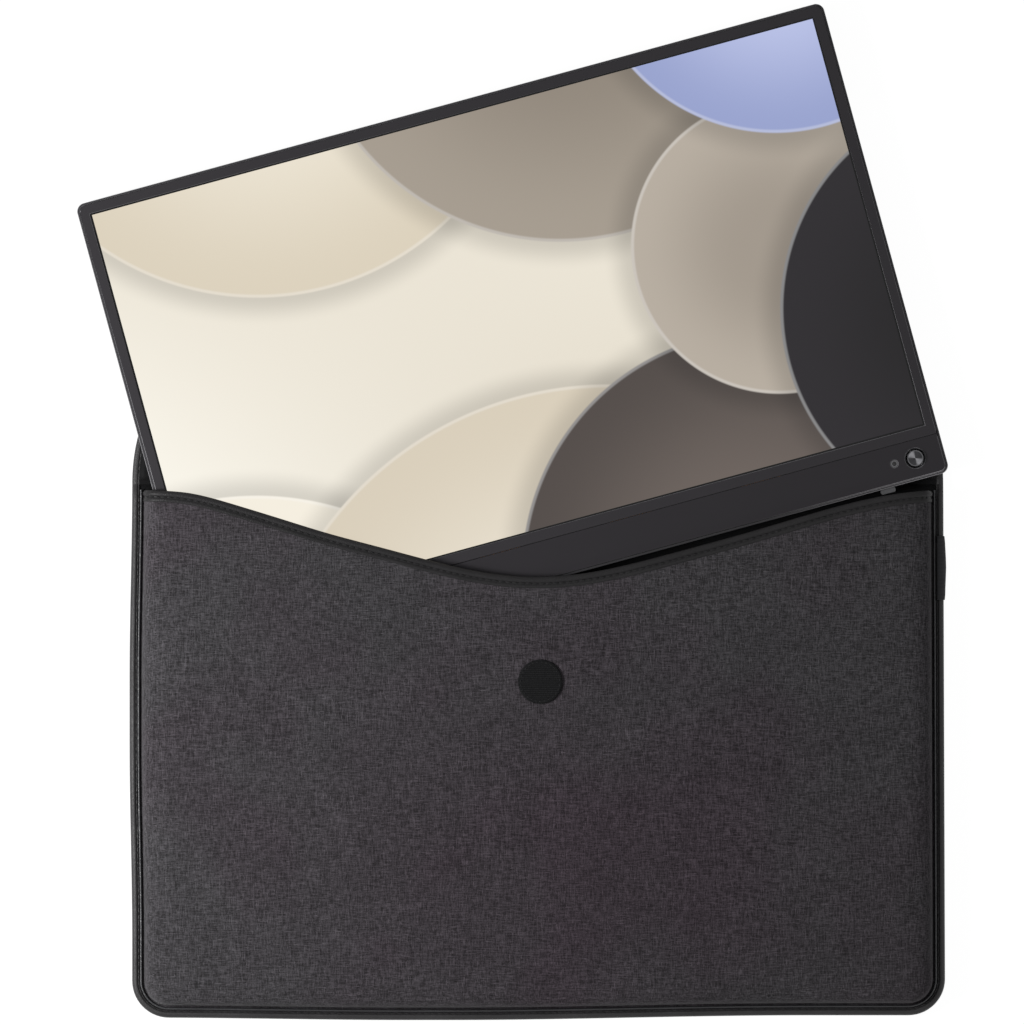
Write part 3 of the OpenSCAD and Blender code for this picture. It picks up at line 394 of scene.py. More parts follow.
def moulded(name, colour, rough=0.5, specular=0.3, grain=0.02, vary=0.06, scale=3.2, metal=0.0, streaks=None):
    """Moulded plastic, rubber or plain metal with a fine spark texture."""
    s = Shader(name, colour, rough, metal, specular)
    fine = s.noise(s.place(streaks or (1, 1, 1)), scale, 3.0, 0.65)
    broad = s.noise(s.place(), 0.03, 2.0, 0.5)
    tone = s.mix(s.spread(fine, 0.3, 0.7), rgb(colour, 1 - vary), rgb(colour, 1 + vary))
    darker = s.mix(1.0, tone, (1 - vary,) * 3 + (1,), "MULTIPLY")
    s.set("Base Color", s.mix(s.spread(broad, 0.35, 0.65), tone, darker))
    s.set("Roughness", s.spread(broad, 0.3, 0.7, rough - 0.04, rough + 0.05))
    s.bump((fine, grain))
    return s.material


def smooth_cloth(name, colour):
    """Slippery lining: a fine diagonal twill with faint creases, painted darker in their hollows and lighter on
    their ridges, as painted shade and painted sheen.
    """
    s = Shader(name, colour, 0.6, specular=0.08, sheen=0.05)
    twill = s.bands(s.place(turn=0.8), 0.9, "X", 0.3)
    creases = s.noise(s.place((0.02, 0.05, 0.05)), 1.0, 3.0, 0.5, 0.8)
    # Painted shade in the crease hollows and painted sheen on their ridges, from the same field as their bump.
    s.set("Base Color", s.mix(s.spread(creases, 0.35, 0.65), rgb(colour, 0.8), rgb(colour, 1.25)))
    s.set("Roughness", s.spread(twill, 0, 1, 0.55, 0.7))
    s.bump((creases, 0.25), (twill, 0.03))
    return s.material


def hooks(name, colour):
    """Woven tape full of tiny stiff hooks in close rows."""
    s = Shader(name, colour, 0.75, specular=0.1)
    rows = s.bands(s.place(), 0.36, "Y", 0.5)
    tufts = s.cells(s.place((1.5, 2.2, 1)), 1.0, "F1")
    tone = s.mix(s.spread(rows, 0.1, 0.9), rgb(colour, 0.4), rgb(colour, 1.45))
    paler = s.mix(1.0, tone, (1.2, 1.2, 1.2, 1), "MULTIPLY")
    s.set("Base Color", s.mix(s.spread(tufts, 0.1, 0.7), paler, tone))
    s.bump((rows, 0.18), (tufts, 0.12))
    return s.material


def webbing(name, colour):
    """Narrow woven ribbon with ribs across it."""
    s = Shader(name, colour, 0.8, specular=0.12, sheen=0.08)
    ribs = s.bands(s.place(), 0.5, "Y", 0.15)
    yarn = s.noise(s.place((2.4, 0.8, 2.4)), 1.0, 2.0, 0.6)
    s.set("Base Color", s.mix(s.spread(ribs, 0.1, 0.9), rgb(colour, 0.7), rgb(colour, 1.2)))
    s.set("Roughness", s.spread(yarn, 0.3, 0.7, 0.72, 0.88))
    s.bump((ribs, 0.12), (yarn, 0.05))
    return s.material


def thread(name, colour):
    """Sewing thread with a light twist."""
    s = Shader(name, colour, 0.6, specular=0.25)
    twist = s.bands(s.place((1, 1, 1), turn=0.6), 1.6, "X", 0.2)
    s.set("Base Color", s.mix(twist, rgb(colour, 0.7), rgb(colour, 1.2)))
    s.bump((twist, 0.04))
    return s.material


def spun(name, colour, sector_highlight, centre):
    """Metal turned on a lathe, with grooves that run in circles; two opposite sectors of the dish are painted
    lighter, a painted highlight.
    """
    s = Shader(name, colour, 0.32, 1.0, 0.5)
    where = s.place(kind="TEXTURE", shift=(*centre, 0))
    split = s.node("ShaderNodeSeparateXYZ")
    s.feed(split.inputs[0], where)
    rings = s.bands(where, 1.5, "Z", 0.0, "RINGS")
    wear = s.noise(where, 0.6, 2.0, 0.5)
    around = s.math("ARCTAN2", split.outputs[1], split.outputs[0])
    turn = s.math("MULTIPLY_ADD", around, 2.0, math.radians(80))
    # Painted highlight: two opposite sectors of the dish turn to the light tone, whatever the light.
    tone = s.mix(s.spread(s.math("COSINE", turn), -0.1, 0.95), rgb(colour), rgb(sector_highlight))
    tone = s.mix(1.0, tone, s.grey(s.math("MULTIPLY_ADD", rings, 0.3, 0.75)), "MULTIPLY")
    rubbed = s.mix(1.0, tone, (0.85, 0.85, 0.85, 1), "MULTIPLY")
    s.set("Base Color", s.mix(s.spread(wear, 0.3, 0.7), rubbed, tone))
    s.set("Roughness", s.spread(wear, 0.3, 0.7, 0.26, 0.38))
    s.set("Anisotropic", 0.7)
    s.set("Tangent", s.node("ShaderNodeTangent", direction_type="RADIAL", axis="Z").outputs[0])
    s.bump((rings, 0.012))
    return s.material


def edge_highlight_paint(name, colour, dull):
    """Edge of the monitor's shell, painted lighter than its plastic: a painted highlight along its bevels,
    strongest at its lower edge and most of all at its lower right corner, where it is a painted reflection of
    the lamp.

    The shut line below the picture stays dull, in the plain plastic tone.
    """
    s = Shader(name, colour, 0.34, specular=0.2)
    split = s.node("ShaderNodeSeparateXYZ")
    s.feed(split.inputs[0], s.place(turn=TILT, kind="TEXTURE", shift=(MON_X, MON_Y, 0)))
    away = s.math("ABSOLUTE", s.math("SUBTRACT", split.outputs[1], CHIN_TOP))
    wear = s.noise(s.place(), 3.2, 3.0, 0.65)
    # Painted highlight: bevels take the light edge tone, except at the shut line, which keeps the dull tone.
    tone = s.mix(s.spread(away, 0.8, 1.6), rgb(dull), rgb(colour))
    # Painted reflection of the lamp along the lower edge, dark at its left end and brightest near the lower
    # right corner.
    lower = s.mix(s.spread(split.outputs[0], 80, 160), rgb("#3a393b"), rgb("#8e8c8f"))
    tone = s.mix(s.spread(split.outputs[1], -109.0, -110.2), tone, lower)
    rubbed = s.mix(1.0, tone, (0.9, 0.9, 0.9, 1), "MULTIPLY")
    s.set("Base Color", s.mix(s.spread(wear, 0.3, 0.7), tone, rubbed))
    s.bump((wear, 0.004))
    return s.material


def circuit(name, colour):
    """Solder mask over fine tracks and pads."""
    s = Shader(name, colour, 0.35, specular=0.45)
    tracks = s.bands(s.place(turn=TILT), 0.7, "X", 3.0)
    pads = s.cells(s.place(), 0.5, "F1")
    tone = s.mix(s.spread(tracks, 0.62, 0.7), rgb(colour), rgb(colour, 1.7))
    s.set("Base Color", s.mix(s.spread(pads, 0.12, 0.16, 1.0, 0.0), tone, rgb("#c9b27a")))
    s.bump((tracks, 0.02))
    return s.material


def picture(name):
    """The lit panel: an abstract of large overlapping paper discs inside a black border."""
    s = Shader(name, "#060607", 0.3, specular=0.22)
    corner = Vector((-SCREEN_W / 2, PIC_Y0, 0))
    ct, st = math.cos(TILT), math.sin(TILT)
    origin = (MON_X + corner.x * ct - corner.y * st, MON_Y + corner.x * st + corner.y * ct, 0)
    p = s.place((SCREEN_H, SCREEN_H, SCREEN_H), TILT, origin, "TEXTURE")
    split = s.node("ShaderNodeSeparateXYZ")
    s.feed(split.inputs[0], p)
    x, y, wide = split.outputs[0], split.outputs[1], SCREEN_W / SCREEN_H
    tone = s.mix(s.spread(x, 0.0, 1.3, soft=False), rgb("#fdf9ee"), rgb("#d6ccb9"))
    tone = s.mix(s.spread(s.math("ADD", y, s.math("MULTIPLY", x, 0.4)), 0.1, 1.1), tone, rgb("#ece5d6"))
    discs = [
        ((0.02, -0.42), 0.70, "#fffdf6", "#f6efe0"), ((0.50, 1.34), 0.66, "#efe7d6", "#ddd2bd"),
        ((0.86, -0.52), 0.84, "#efe7d7", "#dacfbb"), ((1.22, 1.24), 0.62, "#8f8579", "#a59b8e"),
        ((1.32, -0.24), 0.58, "#6b615b", "#4e4642"), ((1.56, 0.50), 0.36, "#a1978b", "#b7ada0"),
        ((2.02, 0.22), 0.52, "#161416", "#242125"), ((1.74, 1.20), 0.46, "#bdc5ea", "#98a3cf"),
    ]
    for centre, radius, inner, outer in discs:
        n = s.node("ShaderNodeVectorMath", operation="DISTANCE")
        s.feed(n.inputs[0], p)
        s.feed(n.inputs[1], (*centre, 0))
        far = n.outputs["Value"]
        shade = s.grey(s.spread(far, radius, radius + 0.07, 0.74, 1.0))
        paper = s.mix(s.spread(far, radius * 0.3, radius), rgb(inner), rgb(outer))
        rim = s.spread(far, radius - 0.010, radius - 0.004, 0.0, 0.22)
        paper = s.mix(rim, paper, rgb("#ffffff"))
        tone = s.mix(s.spread(far, radius - 0.002, radius + 0.002, 1.0, 0.0, False),
                     s.mix(1.0, tone, shade, "MULTIPLY"), paper)
    inside = s.math("MULTIPLY",
                    s.math("MULTIPLY", s.math("GREATER_THAN", x, 0.0), s.math("LESS_THAN", x, wide)),
                    s.math("MULTIPLY", s.math("GREATER_THAN", y, 0.0), s.math("LESS_THAN", y, 1.0)))
    s.set("Emission Color", s.mix(inside, (0, 0, 0, 1), tone))
    s.set("Emission Strength", 0.97)
    haze = s.noise(s.place(), 3.0, 2.0, 0.6)
    s.bump((haze, 0.002))
    return s.material


# ---------------------------------------------------------------- finishes

CLOTH = woven("heather_cloth", "#4b494c", "#252425", "#f6e2ee")
CLOTH_BACK = woven("heather_cloth_back", "#4b494c", "#252425", "#f6e2ee", 31.0)
LEATHER = leatherette("rim_leatherette", "#302f30", 0.44, 0.22)
TRIM = leatherette("trim_leatherette", "#201f20", 0.46, 0.16)
CORD = leatherette("piping_cord", "#303032", 0.34, 0.4)
LINING = smooth_cloth("lining_cloth", "#0e0e0f")
HOOKS = hooks("hook_tape", "#151516")
LOOPS = hooks("loop_tape", "#131314")
RIBBON = webbing("seam_ribbon", "#434345")
THREAD = thread("dark_thread", "#0b0b0c")
# Bevel tone of the monitor's shell: a painted highlight, with a painted reflection along its lower edge.
EDGE_HIGHLIGHT = edge_highlight_paint("edge_painted_highlight", "#646366", "#2b292c")
CAP_EDGE = moulded("turned_edge", "#5a5a5c", 0.24, 0.5, 0.004, 0.04, 5.0, 1.0)
NODE_LOOKS = {
    "rear_cover": moulded("cover_plastic", "#2f2e30", 0.42, 0.2, 0.02),
    "front_bezel": moulded("bezel_plastic", "#2d2b2e", 0.45, 0.16, 0.018),
    "chin_cover": moulded("chin_plastic", "#29272a", 0.42, 0.14, 0.01, 0.04),
    "lcd_panel": picture("lit_panel"),
    # The second tone is the painted highlight of the dish's two bright sectors.
    "joystick_cap": spun("spun_metal", "#3b3b3d", "#8b8b8e", (CAP_X, CAP_Y)),
    "power_light": moulded("light_pipe", "#59595b", 0.3, 0.4, 0.004, 0.05),
    "rear_pads": moulded("pad_rubber", "#1c1c1d", 0.8, 0.2, 0.05, 0.1),
    "bottom_feet": moulded("foot_rubber", "#5b5b5d", 0.7, 0.3, 0.05, 0.1),
    "cover_screws": moulded("dark_screws", "#58585b", 0.3, 0.5, 0.006, 0.1, 6.0, 1.0),
    "board_screws": moulded("bright_screws", "#c2c4c6", 0.3, 0.5, 0.006, 0.1, 6.0, 1.0),
    "usb_c_shells": moulded("port_metal", "#a9abae", 0.3, 0.5, 0.004, 0.08, 5.0, 1.0, (0.2, 1, 1)),
    "hdmi_shell": moulded("port_metal_wide", "#a9abae", 0.32, 0.5, 0.004, 0.08, 5.0, 1.0, (0.2, 1, 1)),
    "usb_c_tongues": moulded("port_plastic", "#1d1d1f", 0.5, 0.35, 0.006),
    "hdmi_tongue": moulded("port_plastic_wide", "#1d1d1f", 0.5, 0.35, 0.006),
    "optical_films": moulded("film", "#f0f0ee", 0.5, 0.4, 0.004, 0.02),
    "light_guide": moulded("light_guide_acrylic", "#dfe6ea", 0.12, 0.5, 0.002, 0.02),
    "reflector_sheet": moulded("reflector_film", "#fafafa", 0.6, 0.3, 0.006, 0.02),
    "led_bar": moulded("lamp_bar", "#f2ead0", 0.4, 0.4, 0.01, 0.08, 0.8),
    "panel_tray": moulded("tray_steel", "#9b9ea2", 0.38, 0.5, 0.01, 0.08, 2.0, 1.0, (0.05, 1, 1)),
    "mid_frame": moulded("frame_plastic", "#57585c", 0.55, 0.35, 0.02),
    "board_shield": moulded("shield_steel", "#b5b8bb", 0.34, 0.5, 0.01, 0.08, 2.0, 1.0, (0.05, 1, 1)),
    "board_chips": moulded("chip_resin", "#26282b", 0.6, 0.3, 0.01),
    "panel_driver_board": circuit("driver_board", "#1f5a3c"),
    "main_board": circuit("main_board_mask", "#1f5a3c"),
    "key_board": circuit("key_board_mask", "#1f5a3c"),
    "panel_flex_tabs": moulded("flex_polyimide", "#b4762d", 0.35, 0.5, 0.004, 0.12, 1.5),
    "panel_cable": moulded("flat_cable", "#e3ddcf", 0.4, 0.4, 0.03, 0.1, 1.6, 0.0, (1, 0.02, 0.02)),
    "key_cable": moulded("key_flat_cable", "#e3ddcf", 0.4, 0.4, 0.03, 0.1, 1.6, 0.0, (1, 0.02, 0.02)),
    "speaker_boxes": moulded("speaker_plastic", "#202124", 0.6, 0.3, 0.03),
    "speaker_cones": moulded("speaker_paper", "#4a4a4d", 0.85, 0.15, 0.05, 0.15),
    "speaker_wires": moulded("lead_sleeve", "#8e2f2a", 0.45, 0.4, 0.01),
    "power_led": moulded("lamp_resin", "#f4f1d8", 0.25, 0.5, 0.004, 0.03),
    "joystick_housing": moulded("switch_plastic", "#18181a", 0.5, 0.35, 0.01),
    "press_dome": moulded("dome_steel", "#c9cbcd", 0.25, 0.5, 0.004, 0.05, 6.0, 1.0),
    "gimbal_ring": moulded("ring_steel", "#77797c", 0.35, 0.5, 0.008, 0.1, 5.0, 1.0),
    "rocker_sleeve": moulded("rocker_steel", "#5d5f62", 0.4, 0.5, 0.008, 0.1, 5.0, 1.0),
    "joystick_stem": moulded("stem_plastic", "#101012", 0.5, 0.35, 0.01),
}
for name, look in NODE_LOOKS.items():
    NODES[name].data.materials.clear()
    NODES[name].data.materials.append(look)


def soften(node, width, look, segments=3, measure="OFFSET"):
    """Takes the knife edge off a CAD piece, so that its rims catch the light; the new faces get the piece's
    second material, a painted highlight on the monitor's shell.
    """
    NODES[node].data.materials.append(look)
    weld = NODES[node].modifiers.new("weld", "WELD")
    weld.merge_threshold = 1e-6
    merge = NODES[node].modifiers.new("flat", "DECIMATE")
    merge.decimate_type = "DISSOLVE"
    merge.angle_limit = math.radians(0.4)
    bevel = NODES[node].modifiers.new("soft", "BEVEL")
    bevel.width, bevel.segments = width * MM, segments
    bevel.limit_method, bevel.angle_limit = "ANGLE", math.radians(35)
    bevel.harden_normals = True
    bevel.offset_type, bevel.use_clamp_overlap = measure, False
    bevel.material = 1


soften("front_bezel", 0.5, EDGE_HIGHLIGHT, measure="ABSOLUTE")
soften("chin_cover", 0.3, EDGE_HIGHLIGHT)
soften("rear_cover", 0.3, EDGE_HIGHLIGHT)
soften("joystick_cap", 0.45, CAP_EDGE, 5)


# ---------------------------------------------------------------- sleeve

SIDE, CORNER, BASE = 64, 10, 110


def rail(top, side=SIDE, corner=CORNER, base=BASE):
    """Lines that run down the left, along the bottom and up the right of the sleeve."""
    cx, cy = HALF_W - SLEEVE_R, Y_BOTTOM + SLEEVE_R

    def line(d):
        r, x = SLEEVE_R - d, HALF_W - d
        end = top(x) if callable(top) else top
        down = [(-x, end + (cy - end) * t) for t in steps(side)]
        turn = [(-cx + r * math.cos(a), cy + r * math.sin(a))
                for a in (math.pi * (1 + t / 2) for t in steps(corner)[1:-1])]
        along = [(-cx + 2 * cx * t, Y_BOTTOM + d) for t in steps(base)]
        right = [(-px, py) for px, py in reversed(down + turn)]
        return down + turn + along + right

    return line


def inset(x, y):
    """Distance in from the sleeve's outline, for points that are not in its round corners."""
    return min(HALF_W - abs(x), y - Y_BOTTOM)


def relief(x, y):
    """Soft unevenness of the padded front, and its slack where no monitor lies under it."""
    mask = smooth(inset(x, y), 8, 34)
    wave = 0.24 * noise.noise(Vector((x / 55, y / 46, 3.1))) + 0.12 * noise.noise(Vector((x / 22, y / 25, 7.7)))
    below = (y - MON_CORNER_Y) * math.cos(TILT) - (x - MON_CORNER_X) * math.sin(TILT)
    return mask * (wave - 0.8 * smooth(-below, 8, 70))


# Skins of the padded front as (distance in, height) from the seam to where its field begins
OUTER = [(1.3, 4.0), (3.6, 4.02), (5.5, 4.1), (5.72, 4.5), (5.8, 5.6), (5.86, 7.6), (6.0, 9.7), (6.35, 11.6),
         (7.0, 13.3), (8.1, 14.75), (9.6, 15.85), (11.4, 16.65), (13.7, 17.2), (17.0, 17.6)]
FOAM = [(1.3, 3.35), (3.6, 3.35), (7.85, 3.35), (7.85, 3.6), (7.85, 5.6), (7.85, 7.6), (7.88, 9.7), (8.0, 11.6),
        (8.3, 13.0), (9.0, 14.1), (10.1, 14.85), (11.6, 15.15), (13.6, 15.2), (17.0, 15.2)]
LINED = [(8.36, 3.35), (8.37, 3.4), (8.38, 3.45), (8.4, 3.6), (8.4, 5.6), (8.4, 7.6), (8.42, 9.7), (8.5, 11.4),
         (8.75, 12.7), (9.4, 13.7), (10.4, 14.35), (11.7, 14.65), (13.6, 14.7), (17.0, 14.7)]


def front_skin(profile, plateau):
    """Points of one skin of the padded front: rings round its edge, then a field inside."""
    line = rail(mouth_edge)
    points = [(x, y, z) for d, z in profile for x, y in line(d)]
    cx, cy = HALF_W - SLEEVE_R, Y_BOTTOM + SLEEVE_R
    rest = profile[-1][1]
    for t in steps(BASE):
        x = -cx + 2 * cx * t
        end = mouth_edge(x)
        for u in steps(SIDE):
            y = cy + (end - cy) * u
            points.append((x, y, plateau - (plateau - rest) * math.exp((SLEEVE_R - inset(x, y)) / 7)))
    return [(x, y, z + relief(x, y)) for x, y, z in points]


def front_faces(rings):
    n = 2 * (SIDE + 1) + 2 * (CORNER - 1) + BASE + 1
    faces = [(k * n + j, k * n + j + 1, (k + 1) * n + j + 1, (k + 1) * n + j)
             for k in range(rings - 1) for j in range(n - 1)]
    base, h = rings * n, SIDE + 1
    faces += [(base + i * h + j, base + (i + 1) * h + j, base + (i + 1) * h + j + 1, base + i * h + j + 1)
              for i in range(BASE) for j in range(SIDE)]
    return faces


# Merging has to pair equal skins, so it is worked out once, on the plain plan
def merged_plan():
    plan = front_skin(OUTER, SLEEVE_T)
    seen, first = {}, []
    for i, (x, y, z) in enumerate(plan):
        ring = i < (len(OUTER) - 1) * (len(plan) - (BASE + 1) * (SIDE + 1)) // len(OUTER)
        key = (i,) if ring else (round(x, 3), round(y, 3))
        first.append(seen.setdefault(key, i))
    return first


def clean_faces(first):
    faces = []
    for f in front_faces(len(OUTER)):
        g = []
        for v in (first[i] for i in f):
            if v not in g:
                g.append(v)
        if len(g) > 2:
            faces.append(tuple(g))
    return faces


def compact(points, faces):
    used = sorted({v for f in faces for v in f})
    index = {v: i for i, v in enumerate(used)}
    return [points[v] for v in used], [tuple(index[v] for v in f) for f in faces]


def eased(points, faces, rounds=14):
    """Evens the heights of a skin beyond its steep edge, so that no crease runs in from the corners."""
    near = [set() for _ in points]
    for f in faces:
        for a, b in zip(f, f[1:] + f[:1]):
            near[a].add(b)
            near[b].add(a)
    z = [p[2] for p in points]
    free = [i for i, p in enumerate(points) if 8.5 < inset(p[0], p[1]) < 60 and p[2] > 14.8]
    for _ in range(rounds):
        new = {i: 0.5 * z[i] + 0.5 * sum(z[j] for j in near[i]) / len(near[i]) for i in free}
        for i, v in new.items():
            z[i] = v
    return [(x, y, h) for (x, y, _), h in zip(points, z)]


FIRST = merged_plan()
FACES = clean_faces(FIRST)
outer_skin, CELLS = compact(front_skin(OUTER, SLEEVE_T), FACES)
foam_skin, _ = compact(front_skin(FOAM, 15.2), FACES)
upper_skin, _ = compact(front_skin([(d, z - 0.02 if z > 14 else z) for d, z in FOAM], 15.18), FACES)
lined_skin, _ = compact(front_skin(LINED, CEILING), FACES)
outer_skin = eased(outer_skin, CELLS)

front_pad = shell("sleeve_front_pad", outer_skin, foam_skin, CELLS, CLOTH, "sleeve", settled=True)
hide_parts("front_outer_fabric", "front_foam")

front_lining = shell("sleeve_front_lining", upper_skin, lined_skin, CELLS, LINING, "sleeve", settled=True)
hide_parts("front_lining")


def sheet_faces(rows):
    m, n = len(rows), len(rows[0])
    return [(i * n + j, i * n + j + 1, (i + 1) * n + j + 1, (i + 1) * n + j)
            for i in range(m - 1) for j in range(n - 1)]


def crowded(u, even):
    """Place from -1 to 1 for a step from 0 to 1, closer together towards both ends where even is small."""
    return even * (2 * u - 1) + (1 - even) * math.sin(math.pi / 2 * (2 * u - 1))


def plan_rows(edge, y_top):
    """Rows of the sleeve's outline drawn in by edge, from the bottom up."""
    r, cy = SLEEVE_R - edge, Y_BOTTOM + SLEEVE_R
    ys = [cy - r * math.cos(math.pi / 2 * t) for t in steps(10)]
    ys += [cy + (y_top - cy) * t for t in steps(70)[1:]]
    rows = []
    for y in ys:
        half = HALF_W - SLEEVE_R + math.sqrt(max(0.0, r * r - (cy - y) ** 2)) if y < cy else HALF_W - edge
        rows.append([(half * crowded(u, 0.35), y) for u in steps(72)])
    return rows


def flat_pad(name, rows, top, bottom, material, body, settled):
    points = [(x, y) for row in rows for x, y in row]
    return shell(name, [(x, y, top(x, y)) for x, y in points], [(x, y, bottom(x, y)) for x, y in points],
                 sheet_faces(rows), material, body, settled=settled)


def creased(x, y):
    """Faint slack of the lining that lies on the back."""
    return 0.05 * noise.noise(Vector((x / 26, y / 14, 0.4))) - 0.03


def pressed(x, y):
    """How far the layers are squeezed under the binding."""
    return 0.5 * (1 - smooth(inset(x, y), 3.2, 4.2))


back_rows = plan_rows(1.2, Y_FOLD - FOLD_HALF)
back_pad = flat_pad("sleeve_back_pad", back_rows, lambda x, y: 2.78 - pressed(x, y),
                    lambda x, y: 0.52 * (1 - smooth(inset(x, y), 3.2, 9)), CLOTH_BACK, "sleeve", True)
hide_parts("back_outer_fabric", "back_foam")

back_lining = flat_pad("sleeve_back_lining", back_rows, lambda x, y: BACK_T + creased(x, y) - pressed(x, y),
                       lambda x, y: 2.8 - pressed(x, y), LINING, "sleeve", True)
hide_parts("back_lining")

# Leatherette folded round the seam, with a stitch channel near its inner edge
BINDING = [(0.0, 3.2), (0.08, 3.85), (0.3, 4.45), (0.65, 4.95), (1.1, 5.27), (1.6, 5.44), (2.1, 5.48),
           (2.45, 5.36), (2.66, 5.08), (2.86, 4.92), (3.06, 5.08), (3.22, 5.16), (3.36, 4.95), (3.4, 4.6),
           (3.4, 4.16), (1.3, 4.14), (1.05, 3.9), (1.0, 0.8), (1.25, 0.55), (3.35, 0.5), (3.4, 0.25),
           (3.2, 0.06), (2.6, 0.0), (1.2, 0.0), (0.45, 0.22), (0.1, 0.8), (0.0, 1.7)]
THIN = 0.6


def eased_end(x, y, z):
    """The seam is thinner where no front panel is caught in it."""
    return z * (1 - (1 - THIN) * smooth(y, Y_MOUTH - 2, Y_FOLD - FOLD_HALF))


RIM_STEPS = (90, 14, 120)
binding = sharpen(loft("sleeve_binding", BINDING, rail(Y_FOLD - FOLD_HALF, *RIM_STEPS), LEATHER, "sleeve", True,
                       eased_end))
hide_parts("edge_binding")

seam = [(x, y, SEWN_UP) for x, y in rail(Y_MOUTH - 2, *RIM_STEPS)(SEWN_IN)]
binding_thread = stitches("sleeve_binding_stitches", seam, THREAD, "sleeve", settled=True)

PIPE = [(PIPE_IN + PIPE_R * math.cos(math.tau * i / 12), PIPE_UP + PIPE_R * math.sin(math.tau * i / 12))
        for i in range(12)]
piping = sharpen(loft("sleeve_piping", PIPE, rail(Y_MOUTH, *RIM_STEPS), CORD, "sleeve", True))
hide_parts("piping_cord")


# ---------------------------------------------------------------- mouth trim

def mouth_frames(d):
    """Along the mouth, d inside the wave: the cloth's outer point, its lined inner point and x in plan."""
    found = []
    for (do, zo), (di, zi) in list(zip(OUTER, LINED))[4:-1]:
        found.append((-HALF_W + do, zo, -HALF_W + di, zi))
    cx = HALF_W - SLEEVE_R
    for t in steps(2 * BASE):
        x = -cx + 2 * cx * t
        lift = (SLEEVE_T - 17.6) * math.exp((SLEEVE_R - (HALF_W - abs(x))) / 7)
        found.append((x, SLEEVE_T - lift, x, CEILING))
    found += [(-a, b, -c, e) for a, b, c, e in reversed(found[:len(OUTER) - 5])]
    rows = []
    for xo, zo, xi, zi in found:
        s = mouth_slope(xo)
        n = math.hypot(1, s)
        dx, y = d * s / n, mouth_y(xo) - d / n
        lift = relief(xo + dx, y)
        rows.append((Vector((xo + dx, y, zo + lift)), Vector((xi + dx, y, zi + lift))))
    return rows


# Across the trim: distance in from the edge, share of the way to the lining, rise over the cloth
TRIM_SECTION = [
    (5.4, 0.0, -0.05), (5.4, 0.0, 0.1), (5.25, 0.0, 0.26), (4.95, 0.0, 0.36), (4.4, 0.0, 0.38),
    (3.95, 0.0, 0.28), (3.7, 0.0, 0.05), (3.2, 0.0, 0.03), (2.9, 0.0, 0.08), (2.72, 0.0, 0.34),
    (2.4, 0.0, 0.56), (1.9, 0.0, 0.7), (1.4, 0.0, 0.68), (0.9, 0.0, 0.5), (0.5, 0.0, 0.24),
    (0.2, 0.0, -0.08), (0.05, 0.06, -0.05), (0.0, 0.25, 0.0), (0.0, 0.6, 0.0), (0.0, 0.92, 0.0),
    (0.2, 1.0, 0.0), (0.6, 1.02, 0.0), (0.62, 0.7, 0.0), (0.62, 0.3, 0.0), (0.62, 0.0, -0.05),
]


def trim_rows():
    rows = []
    for d, share, rise in TRIM_SECTION:
        row = []
        for out, lined in mouth_frames(d):
            away = (out - lined).normalized()
            row.append(tuple(out.lerp(lined, share) + away * rise))
        rows.append(row)
    return rows


rows = trim_rows()
trim = sharpen(build("sleeve_mouth_trim", [p for row in rows for p in row], tube_faces(len(rows), len(rows[0])),
                     TRIM, "sleeve", settled=True))
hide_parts("mouth_trim")

sewn = [tuple(out + (out - lined).normalized() * 0.18) for out, lined in mouth_frames(TRIM_SEWN_IN)]
trim_thread = stitches("mouth_trim_stitches", sewn[4:-4], THREAD, "sleeve", radius=0.26, settled=True)


# ---------------------------------------------------------------- dots and loop

def tape_dot(name, x0, y0, z0, z1, look, body, rounding=0.35):
    """Round patch of hook or loop tape with a soft edge and a pile that isn't quite level."""
    profile = [(0.0, z1)] + [(DOT_R * t, z1) for t in (0.15, 0.3, 0.45, 0.6, 0.72, 0.82, 0.89)]
    profile += [(DOT_R - rounding - 0.3, z1 - 0.02), (DOT_R - rounding, z1 - 0.08),
                (DOT_R - 0.1, z1 - rounding), (DOT_R, z1 - rounding - 0.2), (DOT_R, z0)]
    sides = 72
    points = [(x0, y0, z1)]
    for r, z in profile[1:]:
        for k in range(sides):
            a = math.tau * k / sides
            px, py = r * math.cos(a), r * math.sin(a)
            pile = 0.05 * noise.noise(Vector((px / 2.1, py / 2.1, z0))) if r < DOT_R - 0.5 else 0.0
            points.append((x0 + px, y0 + py, z + pile))
    faces = [(0, 1 + k, 1 + (k + 1) % sides) for k in range(sides)]
    for j in range(len(profile) - 2):
        a = 1 + j * sides
        faces += [(a + k, a + sides + k, a + sides + (k + 1) % sides, a + (k + 1) % sides)
                  for k in range(sides)]
    faces.append(tuple(1 + (len(profile) - 2) * sides + k for k in range(sides)))
    return build(name, points, faces, look, body)


def ring_line(x0, y0, r, z, n=120):
    turns = [math.tau * k / n for k in range(n + 1)]
    return [(x0 + r * math.cos(a), y0 + r * math.sin(a), z) for a in turns]


dip = relief(DOT_X, DOT_Y)
hook_dot = tape_dot("closure_hook_dot", DOT_X, DOT_Y, 18.0 + dip - 0.3, 19.1 + dip, HOOKS, "sleeve")
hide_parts("hook_dot")
dot_thread = stitches("hook_dot_stitches", ring_line(DOT_X, DOT_Y, DOT_R - 1.2, 19.12 + dip), THREAD, "sleeve",
                      length=1.5, pitch=2.1, radius=0.2)

